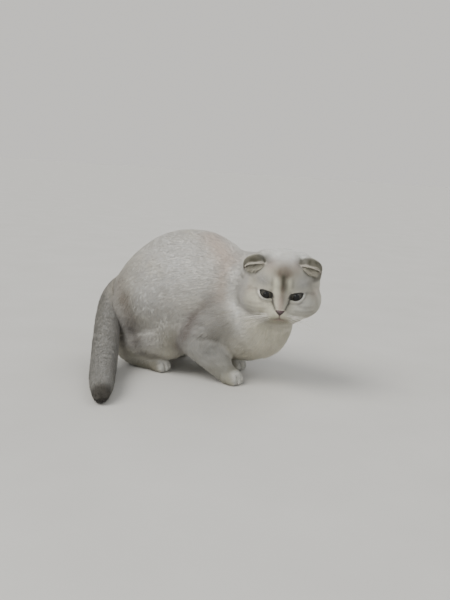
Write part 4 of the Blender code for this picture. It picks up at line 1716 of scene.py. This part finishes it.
# ---------------------------------------------------------------- eyes, nose and whiskers
def ball_mesh(across, around):
    """A unit ball with its pole along X: points, and triangles."""
    work = bmesh.new()
    bmesh.ops.create_uvsphere(work, u_segments=around, v_segments=across, radius=1.0)
    bmesh.ops.triangulate(work, faces=work.faces)
    work.verts.ensure_lookup_table()
    points = np.array([(v.co.z, v.co.x, v.co.y) for v in work.verts])
    faces = np.array([[v.index for v in f.verts] for f in work.faces])
    work.free()
    return points, faces


def make_eye(side, look):
    """An eyeball with a cornea that stands a little proud of it, turned to where the cat looks."""
    sign = -1 if side == "right" else 1
    x, y, z = EYE_AT
    points, faces = ball_mesh(72, 72)
    tilt = math.radians(GAZE_UP)
    forward = np.array((math.cos(tilt), 0.0, math.sin(tilt)))
    left = np.array((0.0, 1.0, 0.0))
    upward = np.array((-math.sin(tilt), 0.0, math.cos(tilt)))
    gaze = np.stack((points[:, 1], points[:, 2], points[:, 0]), axis=1) * EYE_RADIUS
    angle = np.arccos(np.clip(points[:, 0], -1, 1)) * EYE_RADIUS
    radius = EYE_RADIUS + cornea(angle)
    turned = (
        points[:, :1] * forward + points[:, 1:2] * left + points[:, 2:] * upward
    ) * radius[:, None]
    placed = from_head(turned + np.array((x, sign * y, z)))
    mesh = raw_mesh("eyeball_" + side, (placed + SHIFT) * CM, faces)
    layer = mesh.attributes.new(name="Gaze", type="FLOAT_VECTOR", domain="POINT")
    layer.data.foreach_set("vector", gaze.astype(np.float32).ravel())
    mesh.shade_smooth()
    mesh.materials.append(look)
    return add_object("eyeball_" + side, mesh)


def make_nose(look):
    """The nose leather: wide above, pointed below, with a nostril on each side and a groove."""
    x, y, z = NOSE_AT
    points, faces = ball_mesh(64, 96)
    a, b, c = points[:, 0], points[:, 1], points[:, 2]
    wide = NOSE_WIDTH / 2 * (0.12 + 0.9 * step(-1.15, 0.62, c))
    px = x - 0.40 + 0.40 * a - 0.13 * np.abs(b) ** 1.5
    py = b * wide * (1 + 0.10 * np.abs(c))
    pz = z - 0.02 + 0.42 * np.sign(c) * np.abs(c) ** 0.85 - 0.06 * b * b
    front = step(-0.2, 0.3, a)
    side = np.abs(py)
    slot = np.exp(
        -(((side - 0.27) / 0.09) ** 2)
        - ((pz - (z - 0.0) - 0.45 * (side - 0.27)) / 0.06) ** 2
    )
    tail = np.exp(-(((side - 0.44) / 0.06) ** 2) - ((pz - (z + 0.05)) / 0.07) ** 2)
    groove = np.exp(-((py / 0.045) ** 2)) * step(0.25, -0.35, c)
    wing = np.exp(-(((side - 0.4) / 0.14) ** 2) - ((pz - (z + 0.13)) / 0.1) ** 2)
    px = px - front * (0.07 * slot + 0.02 * tail + 0.05 * groove - 0.04 * wing)
    colour = np.tile(linear((62, 45, 46)), (len(points), 1))
    # painted highlight: a paler spot on the front top of the nose leather
    colour = mixed(colour, (90, 70, 70), 0.7 * spot(points, (0.8, 0, 0.45), (0.6, 0.5, 0.4)))
    colour = mixed(colour, (66, 48, 44), 0.8 * step(0.62, 0.98, np.hypot(b, c)))
    # painted shade in the nostril slots and in the groove down the middle
    colour = mixed(colour, (18, 12, 11), front * np.clip(1.15 * np.maximum(slot, 0.8 * tail), 0, 1))
    colour = mixed(colour, (52, 37, 34), 0.8 * front * groove)
    placed = from_head(np.stack((px, py, pz), axis=1))
    mesh = raw_mesh("nose_leather", (placed + SHIFT) * CM, faces)
    paint(mesh, colour)
    mesh.shade_smooth()
    mesh.materials.append(look)
    return add_object("nose_leather", mesh)


def tapered(paths, radii, sides=6):
    """Round hairs, each closed at both ends, as one mesh's points and triangles."""
    points = []
    faces = []
    for path, radius in zip(paths, radii):
        path = np.asarray(path)
        count = len(path)
        first = len(points)
        ways = unit(np.gradient(path, axis=0))
        helper = np.array((0.0, 0.0, 1.0))
        for i in range(count):
            across = unit(np.cross(ways[i], helper))
            over = np.cross(across, ways[i])
            size = radius * (1 - (i / (count - 1)) ** 1.6 * 0.86)
            for k in range(sides):
                angle = 2 * math.pi * k / sides
                points.append(path[i] + (across * math.cos(angle) + over * math.sin(angle)) * size)
        for i in range(count - 1):
            for k in range(sides):
                j = (k + 1) % sides
                p, q = first + i * sides, first + (i + 1) * sides
                faces.append((p + k, p + j, q + j))
                faces.append((p + k, q + j, q + k))
        for k in range(1, sides - 1):
            faces.append((first, first + k + 1, first + k))
            end = first + (count - 1) * sides
            faces.append((end, end + k, end + k + 1))
    return np.array(points), np.array(faces)


def make_whiskers(surface, look):
    random = np.random.default_rng(41)
    paths = []
    radii = []
    tree = surface["tree"]
    for sign in (-1, 1):
        for row, (z, count, pitch) in enumerate(
            ((-1.98, 3, 0.02), (-2.22, 4, -0.10), (-2.46, 4, -0.24), (-2.66, 2, -0.36))
        ):
            for k in range(count):
                start = from_head((4.6, sign * (0.86 + 0.27 * k + 0.05 * row), z + 0.03 * k))
                start = np.array(tree.find_nearest(start)[0])
                length = (3.4, 4.6, 4.3, 3.2)[row] * (1 - 0.07 * k) * random.uniform(0.9, 1.08)
                ahead = 0.30 - 0.11 * k + 0.06 * random.standard_normal()
                way = np.array((ahead, sign * 1.0, pitch + 0.05 * random.standard_normal()))
                way = HEAD_AXES @ (way / np.linalg.norm(way))
                droop = HEAD_AXES @ np.array((-0.22, 0.0, -0.16 + 0.04 * random.standard_normal()))
                t = np.linspace(0, 1, 14)[:, None]
                path = start + way * (length * t) + droop * (length * t**2)
                path[0] -= way * 0.1
                paths.append(path)
                radii.append(0.017 if row in (1, 2) else 0.014)
        for k in range(3):
            start = from_head((3.4, sign * (1.55 + 0.3 * k), 1.35 + 0.1 * k))
            start = np.array(tree.find_nearest(start)[0])
            way = HEAD_AXES @ unit(np.array((0.75, sign * (0.35 + 0.18 * k), 0.75)))
            droop = HEAD_AXES @ np.array((-0.25, sign * 0.1, 0.1))
            t = np.linspace(0, 1, 10)[:, None]
            length = 1.6 - 0.25 * k
            paths.append(start + way * (length * t) + droop * (length * t**2))
            radii.append(0.008)
    points, faces = tapered(paths, radii)
    mesh = raw_mesh("whiskers", (points + SHIFT) * CM, faces)
    mesh.shade_smooth()
    mesh.materials.append(look)
    return add_object("whiskers", mesh)


def make_ear_hair(surface, look):
    """Light locks from the inner edge of each ear across its opening, and a fringe on its margin."""
    random = np.random.default_rng(23)
    tree = surface["tree"]
    starts, middles, tips, widths, colours = [], [], [], [], []
    for sign in (-1, 1):
        place = ear_frame(sign)

        def spot_at(f, s, n):
            return np.array(place @ Vector((f, s * sign, n)))

        for k in range(460):
            u = random.uniform(-0.85, 0.4)
            reach = float(ear_reach(u, 1.0))
            start = spot_at(random.uniform(0.2, 0.95) * reach, u * EAR_HALF_WIDTH, -0.7)
            start = np.array(tree.find_nearest(start)[0])
            long = random.uniform(0.45, 0.85)
            way = (random.uniform(0.0, 0.4), random.uniform(0.6, 1.0), random.uniform(-0.1, 0.16))
            way = ear_way(unit(np.array(way)) * long, sign)
            up = ear_way((0.06, 0.0, random.uniform(0.05, 0.16)), sign)
            starts.append(start)
            middles.append(start + way * 0.5 + up)
            tips.append(start + way)
            widths.append(random.uniform(0.04, 0.07))
            colours.append(linear((198, 192, 174)) * random.uniform(0.6, 1.1))
        for k in range(380):
            u = random.uniform(-0.9, 0.8)
            reach = float(ear_reach(u, 1.0))
            top = EAR_BASE + (0.22 - EAR_BASE) * float(ear_arch(u))
            start = spot_at(0.65 * reach, u * EAR_HALF_WIDTH, top)
            start = np.array(tree.find_nearest(start)[0])
            long = random.uniform(0.16, 0.34)
            along = 0.75 * (1 - max(u, 0.0) ** 2 * 1.5)
            way = (0.5 * random.uniform(0.5, 1.2), along, -0.3 + random.uniform(-0.2, 0.25))
            way = unit(np.array(way)) * long
            way = ear_way(way, sign)
            starts.append(start)
            middles.append(start + way * 0.5 + ear_way((0.02, 0, 0.015), sign))
            tips.append(start + way)
            widths.append(random.uniform(0.03, 0.05))
            colours.append(linear((214, 208, 192)) * random.uniform(0.85, 1.03))
    start, middle, tip = (np.array(v) for v in (starts, middles, tips))
    half = np.array(widths)[:, None] / 2
    total = len(start)
    way = unit(tip - start)
    out = unit(start - from_head((0.0, 0.0, -0.5)))
    side = unit(np.cross(out, way))
    up = np.cross(way, side)
    points = np.stack(
        (
            start - way * 0.05,
            middle + side * half,
            middle - side * half,
            middle + up * half,
            tip,
        ),
        axis=1,
    )
    near = np.array([tree.find_nearest(s)[2] for s in start])
    chosen = np.unique(near)
    faces = surface["faces"][chosen]
    place_of = {int(face): k for k, face in enumerate(chosen)}
    placed = unwrap(surface["points"], faces).mean(axis=1)
    uv = np.clip(placed[[place_of[int(k)] for k in near]], 0.003, 0.997)
    made = (LONG_SHAPE[None] + 5 * np.arange(total)[:, None, None]).reshape(-1, 3)
    mesh = raw_mesh("coat_ears", (points.reshape(-1, 3) + SHIFT) * CM, made)
    layer = mesh.uv_layers.new(name="OFBake")
    places = (uv[:, None, None, :] + LONG_PATCH[LONG_SHAPE][None]).reshape(-1, 2)
    layer.data.foreach_set("uv", places.astype(np.float32).ravel())
    # painted shade and light along each lock: roots darker, tips paler
    tones = np.array((0.7, 0.94, 0.94, 1.0, 1.06))
    paint(mesh, np.clip((np.array(colours)[:, None, :] * tones[:, None]).reshape(-1, 3), 0, 0.92))
    mesh.shade_smooth()
    mesh.materials.append(look)
    return add_object("coat_ears", mesh)


# ---------------------------------------------------------------- building it
skin_mesh = thin_body(make_skin(), 0.62)
ears = new_mesh("ears", [lambda w: add_ear(w, -1), lambda w: add_ear(w, 1)])


def away_from(points, others):
    """How far each point is from the nearest of some others."""
    tree = KDTree(len(others))
    for index, other in enumerate(others.tolist()):
        tree.insert(other, index)
    tree.balance()
    return np.array([tree.find(p)[2] for p in points.tolist()])


ear_points = points_of(ears)
before = np.concatenate((points_of(skin_mesh), ear_points))
skin_mesh = united(skin_mesh, ears)
points = points_of(skin_mesh)
seam_points = points[away_from(points, before) > 0.002]
FINE = [(from_head((EYE_AT[0] + 0.9, sign * EYE_AT[1], EYE_AT[2])), 1.75) for sign in (-1, 1)]
FINE.append((from_head((4.2, 0, -2.4)), 2.0))
for places in (FORE_TOES, HIND_TOES):
    FINE.extend((np.array((x - 0.5, y, 0.8)), 1.75) for x, y in places.values())
skin_mesh = refine(skin_mesh, FINE, (1.0, 0.8))
points = points_of(skin_mesh)
edges = edges_of(skin_mesh)
h = to_head(points)
near_face = (h[:, 0] > 1.2) & (np.linalg.norm(h, axis=1) < 6.5)
zones = ear_zones(points, normals_of(skin_mesh))
off_ear = (zones[0] < 0.05) & (zones[2] < 0.05)
points = spread(points, edges, 4, 0.5, ~(near_face & off_ear))
seam = away_from(points, seam_points) < 0.2
points = spread(points, edges, 4, 0.5, ~seam)
place_points(skin_mesh, points)
crease = np.zeros(len(points), dtype=bool)
for sign in (-1, 1):
    crease |= np.linalg.norm(to_head(points) - (3.75, sign * 1.2, -1.35), axis=1) < 0.75
points = spread(points, edges, 14, 0.5, ~crease)
points = np.where(toe_gaps(points, 0.4)[:, None] > 0.01, shape_toes(points, normals_of(skin_mesh)), points)
place_points(skin_mesh, points)
h = to_head(points)
h = shape_face(h, head_normals(skin_mesh))
h = shape_lids(h)
points = np.where((near_face & off_ear)[:, None], from_head(h), points)
crease = np.zeros(len(points), dtype=bool)
for sign in (-1, 1):
    gap, _, _ = rim_gap(h, sign)
    for place, size in (((3.7, 1.05, -0.5), 0.8), ((4.0, 1.05, -1.35), 0.7), ((4.3, 0.6, -0.9), 0.5)):
        near = np.linalg.norm(h - np.array(place) * (1, sign, 1), axis=1) < size
        crease |= near & (gap > 0.07)
    crease |= (gap > 0.1) & (gap < 0.9)
points = spread(points, edges, 12, 0.5, ~crease)
place_points(skin_mesh, points)
skin_mesh.shade_smooth()

faces = np.empty(len(skin_mesh.polygons) * 3, dtype=np.int32)
skin_mesh.loops.foreach_get("vertex_index", faces)
faces = faces.reshape(-1, 3)
points = points_of(skin_mesh)
normals = normals_of(skin_mesh)
edges = edges_of(skin_mesh)
h = to_head(points)
weights, ways, shares = regions_at(points)
zones = ear_zones(points, normals)
length, width, many = coat_size(points, h, weights, shares)
on_head = (weights[REGIONS.index("head")] > 0.5) | (beside_ear(points) > 0.5)
on_ear = away_from(points, ear_points) < 0.14
length = np.where(on_ear, 0.28, length)
width = np.where(on_ear, 0.062, width)
many = np.where(on_ear, 480, many)
depth = spread(depth_at(points), edges, 10)
depth = np.where(on_ear, 0.05, depth)
bare = np.zeros(len(points))
for sign in (-1, 1):
    gap, _, _ = rim_gap(h, sign)
    bare = np.maximum(bare, gap < 0.09)
    close = step(0.75, 0.12, gap) * on_head
    length *= 1 - 0.42 * close
    width *= 1 - 0.2 * close
    depth *= 1 - 0.6 * close
nose_gap = np.hypot(h[:, 1] / 0.62, (h[:, 2] - NOSE_AT[2]) / 0.42)
bare = np.maximum(bare, (h[:, 0] > 3.9) & (nose_gap < 1.0))
close = step(2.2, 1.0, nose_gap) * step(3.4, 4.0, h[:, 0])
length *= 1 - 0.3 * close
depth *= 1 - 0.5 * close
mouth, _ = mouth_gap(h)
bare = np.maximum(bare, (mouth < 0.05) & (h[:, 0] > 2.6) & (np.abs(h[:, 1]) < 0.6))
bare = np.maximum(bare, zones[2] > 0.3)
bare = np.maximum(bare, toe_gaps(points, 0.08) > 0.6)
tears = np.zeros(len(points))
for sign in (-1, 1):
    line = face_line(h, (sign * 0.93, -0.3), (sign * 0.56, -1.55), 0.3)
    tears = np.maximum(tears, line * (h[:, 0] > 2.5))
length *= 1 - 0.4 * tears
tip_ahead = np.zeros(len(points))
for places in (FORE_TOES, HIND_TOES):
    for x, y in places.values():
        tip_ahead = np.maximum(tip_ahead, step(2.0, 1.3, np.hypot(points[:, 0] - x, points[:, 1] - y)))
length *= 1 - 0.35 * tip_ahead * (points[:, 2] < 2.0)
hanging = weights[REGIONS.index("chest")] * step(0.0, -0.6, normals[:, 2])
length *= 1 + 0.25 * hanging
bare = np.maximum(bare, (points[:, 2] < 0.2) & (normals[:, 2] < -0.75))
loose = 0.2 + 0.5 * weights[REGIONS.index("chest")] * step(0.2, -0.5, normals[:, 2])
loose = np.maximum(loose, step(0.0, -0.6, normals[:, 2]) * (1 - on_head)) * (1 - on_ear)
flow = lie_at(points, normals, weights, ways, edges)
colours = colour_at(points, normals, weights, shares)
corners = points[faces]
face_normals = unit(np.cross(corners[:, 1] - corners[:, 0], corners[:, 2] - corners[:, 0]))
surface = {
    "points": points,
    "faces": faces,
    "normals": normals,
    "face_normals": face_normals,
    "flow": flow,
    "colours": colours,
    "face_colours": colours[faces].mean(axis=1),
    "depth": depth,
    "length": length,
    "width": width,
    "many": many,
    "bare": bare,
    "loose": loose,
    "tree": BVHTree.FromPolygons(points.tolist(), faces.tolist()),
}

fur = fur_material("fur", 0.82, 0.35, 900.0, 0.25, 0.10)
skin_look = fur_material("short_coat", 0.86, 0.25, 1500.0, 0.8, 0.14)
eye_look = eye_material()
nose_look = nose_material()
whisker_look = whisker_material()

# painted light: the skin made paler where the coat covers it, most on the tail, against the shade in the gaps
# between tufts
under = 1.18 - 0.2 * np.maximum(on_head, bare)
under += 0.5 * weights[REGIONS.index("tail")] * (1 - bare)
paint(skin_mesh, np.clip(colours * under[:, None], 0, 0.9))
place_points(skin_mesh, points + SHIFT)
skin_mesh.materials.clear()
skin_mesh.materials.append(skin_look)
skin = add_object("skin", skin_mesh)

region = np.argmax(weights[:, faces].mean(axis=2), axis=0)
centre = points[faces].mean(axis=1)
turned = face_normals
head_place = to_head(centre)
names = np.array(REGIONS)[region]
is_head = names == "head"
is_trunk = names == "trunk"
is_fore = np.char.startswith(names, "fore")
is_thigh = np.char.startswith(names, "hind")
low_leg = is_fore & (centre[:, 2] < 2.6)
PIECES = (
    ("coat_face", is_head & (head_place[:, 0] > 2.3), True),
    ("coat_cheeks", is_head & (head_place[:, 0] <= 2.3) & (head_place[:, 0] > 0.3), False),
    ("coat_crown", is_head & (head_place[:, 0] <= 0.3), False),
    ("coat_neck", names == "neck", False),
    ("coat_chest", names == "chest", False),
    ("coat_back_fore", is_trunk & (centre[:, 2] > 11.5) & (centre[:, 0] > -1.0), False),
    ("coat_back_hind", is_trunk & (centre[:, 2] > 11.5) & (centre[:, 0] <= -1.0), False),
    ("coat_flank_right", is_trunk & (centre[:, 2] <= 11.5) & (centre[:, 1] < 0), False),
    ("coat_flank_left", is_trunk & (centre[:, 2] <= 11.5) & (centre[:, 1] >= 0), False),
    ("coat_thigh_right", is_thigh & (centre[:, 1] < 0), False),
    ("coat_thigh_left", is_thigh & (centre[:, 1] >= 0), False),
    ("coat_forelegs", is_fore & ~low_leg, False),
    ("coat_feet", low_leg | np.char.startswith(names, "foot"), True),
    ("coat_tail", names == "tail", False),
)
coat = []
for seed, (name, chosen, short) in enumerate(PIECES):
    coat.append(grow(name, surface, np.nonzero(chosen)[0], short, 100 + seed, look=fur))
coat.append(make_ear_hair(surface, fur))

eyes = [make_eye("left", eye_look), make_eye("right", eye_look)]
nose = make_nose(nose_look)
whiskers = make_whiskers(surface, whisker_look)

# ---------------------------------------------------------------- the model's parts hidden, the new pieces hung on the body
flesh = [n for n in frame["nodes"] if not n.startswith(("eye", "nose"))]
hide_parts(*flesh)
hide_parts("eye_left")
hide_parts("eye_right")
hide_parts("nose")
for piece in (skin, *coat, *eyes, nose, whiskers):
    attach(piece, "root")

# ---------------------------------------------------------------- floor, light and camera
floor_mesh = new_mesh(
    "floor", [lambda w: bmesh.ops.create_circle(w, cap_ends=True, segments=96, radius=30.0)]
)
floor = add_object("floor", floor_mesh)
floor_mesh.materials.append(floor_material())

FLOOR_TONE = (0.782, 0.763, 0.727)
world = bpy.data.worlds.new("studio")
bpy.context.scene.world = world
world.use_nodes = True
world_nodes = world.node_tree.nodes
sky = world_nodes["Background"]
sky.inputs["Color"].default_value = (0.95, 0.97, 1.0, 1.0)
sky.inputs["Strength"].default_value = 0.5
# what the camera sees past the floor's end has the floor's own tone, so no edge shows
beyond = world_nodes.new("ShaderNodeBackground")
beyond.inputs["Color"].default_value = (*FLOOR_TONE, 1.0)
seen = world_nodes.new("ShaderNodeLightPath")
either = world_nodes.new("ShaderNodeMixShader")
world_links = world.node_tree.links
world_links.new(seen.outputs["Is Camera Ray"], either.inputs["Fac"])
world_links.new(sky.outputs["Background"], either.inputs[1])
world_links.new(beyond.outputs["Background"], either.inputs[2])
world_links.new(either.outputs["Shader"], world_nodes["World Output"].inputs["Surface"])


def add_light(name, place, target, power, colour, size=None, angle=None):
    """A soft lamp: a disc of some size, or light from far away that comes from within an angle."""
    light = bpy.data.lights.new(name, "SUN" if size is None else "AREA")
    if size is None:
        light.angle = math.radians(angle)
    else:
        light.shape = "DISK"
        light.size = size
    light.energy = power
    light.color = colour
    made = bpy.data.objects.new(name, light)
    bpy.context.scene.collection.objects.link(made)
    made.location = place
    made.rotation_mode = "QUATERNION"
    made.rotation_quaternion = (Vector(target) - Vector(place)).to_track_quat("-Z", "Y")
    return made


add_light("key", (-0.85, -1.1, 1.6), (0, 0, 0.08), 2.3, (1.0, 0.985, 0.96), angle=38)
add_light("fill", (1.3, -0.9, 0.9), (0, 0, 0.08), 0.6, (0.97, 0.98, 1.0), angle=50)
add_light("rear", (0.2, 1.4, 1.3), (0, 0, 0.1), 0.7, (1.0, 1.0, 1.0), angle=50)
window = add_light("window", (0.02, -1.15, 0.30), (0.1, 0, 0.12), 1.9, (1.0, 1.0, 1.0), size=0.3)
window.visible_camera = False

CAMERA_TURN = math.radians(22.0)
CAMERA_DOWN = math.radians(10.2)
CAMERA_ROLL = math.radians(3.9)
CAMERA_AWAY = 1.0
PIXELS_PER_UNIT = 745.0
AIM = (190.0, 366.0)  # where the cat frame's origin falls in the 450 x 600 picture

back = Vector(
    (
        math.sin(CAMERA_TURN) * math.cos(CAMERA_DOWN),
        -math.cos(CAMERA_TURN) * math.cos(CAMERA_DOWN),
        math.sin(CAMERA_DOWN),
    )
)
level = Vector((math.cos(CAMERA_TURN), math.sin(CAMERA_TURN), 0.0))
upright = back.cross(level)
right = level * math.cos(CAMERA_ROLL) + upright * math.sin(CAMERA_ROLL)
over = -level * math.sin(CAMERA_ROLL) + upright * math.cos(CAMERA_ROLL)
eye_point = (
    back
    - right * ((AIM[0] - 225.0) / PIXELS_PER_UNIT)
    - over * ((300.0 - AIM[1]) / PIXELS_PER_UNIT)
) * CAMERA_AWAY
turning = Matrix([[right[i], over[i], back[i]] for i in range(3)]).to_4x4()
camera_data = bpy.data.cameras.new("camera")
camera_data.sensor_width = 36.0
camera_data.lens = PIXELS_PER_UNIT * 36.0 / 600.0
camera_data.clip_start = 0.02
camera_data.clip_end = 100.0
camera = bpy.data.objects.new("camera", camera_data)
bpy.context.scene.collection.objects.link(camera)
camera.matrix_world = Matrix.Translation(eye_point + Vector(SHIFT) * CM) @ turning
bpy.context.scene.camera = camera
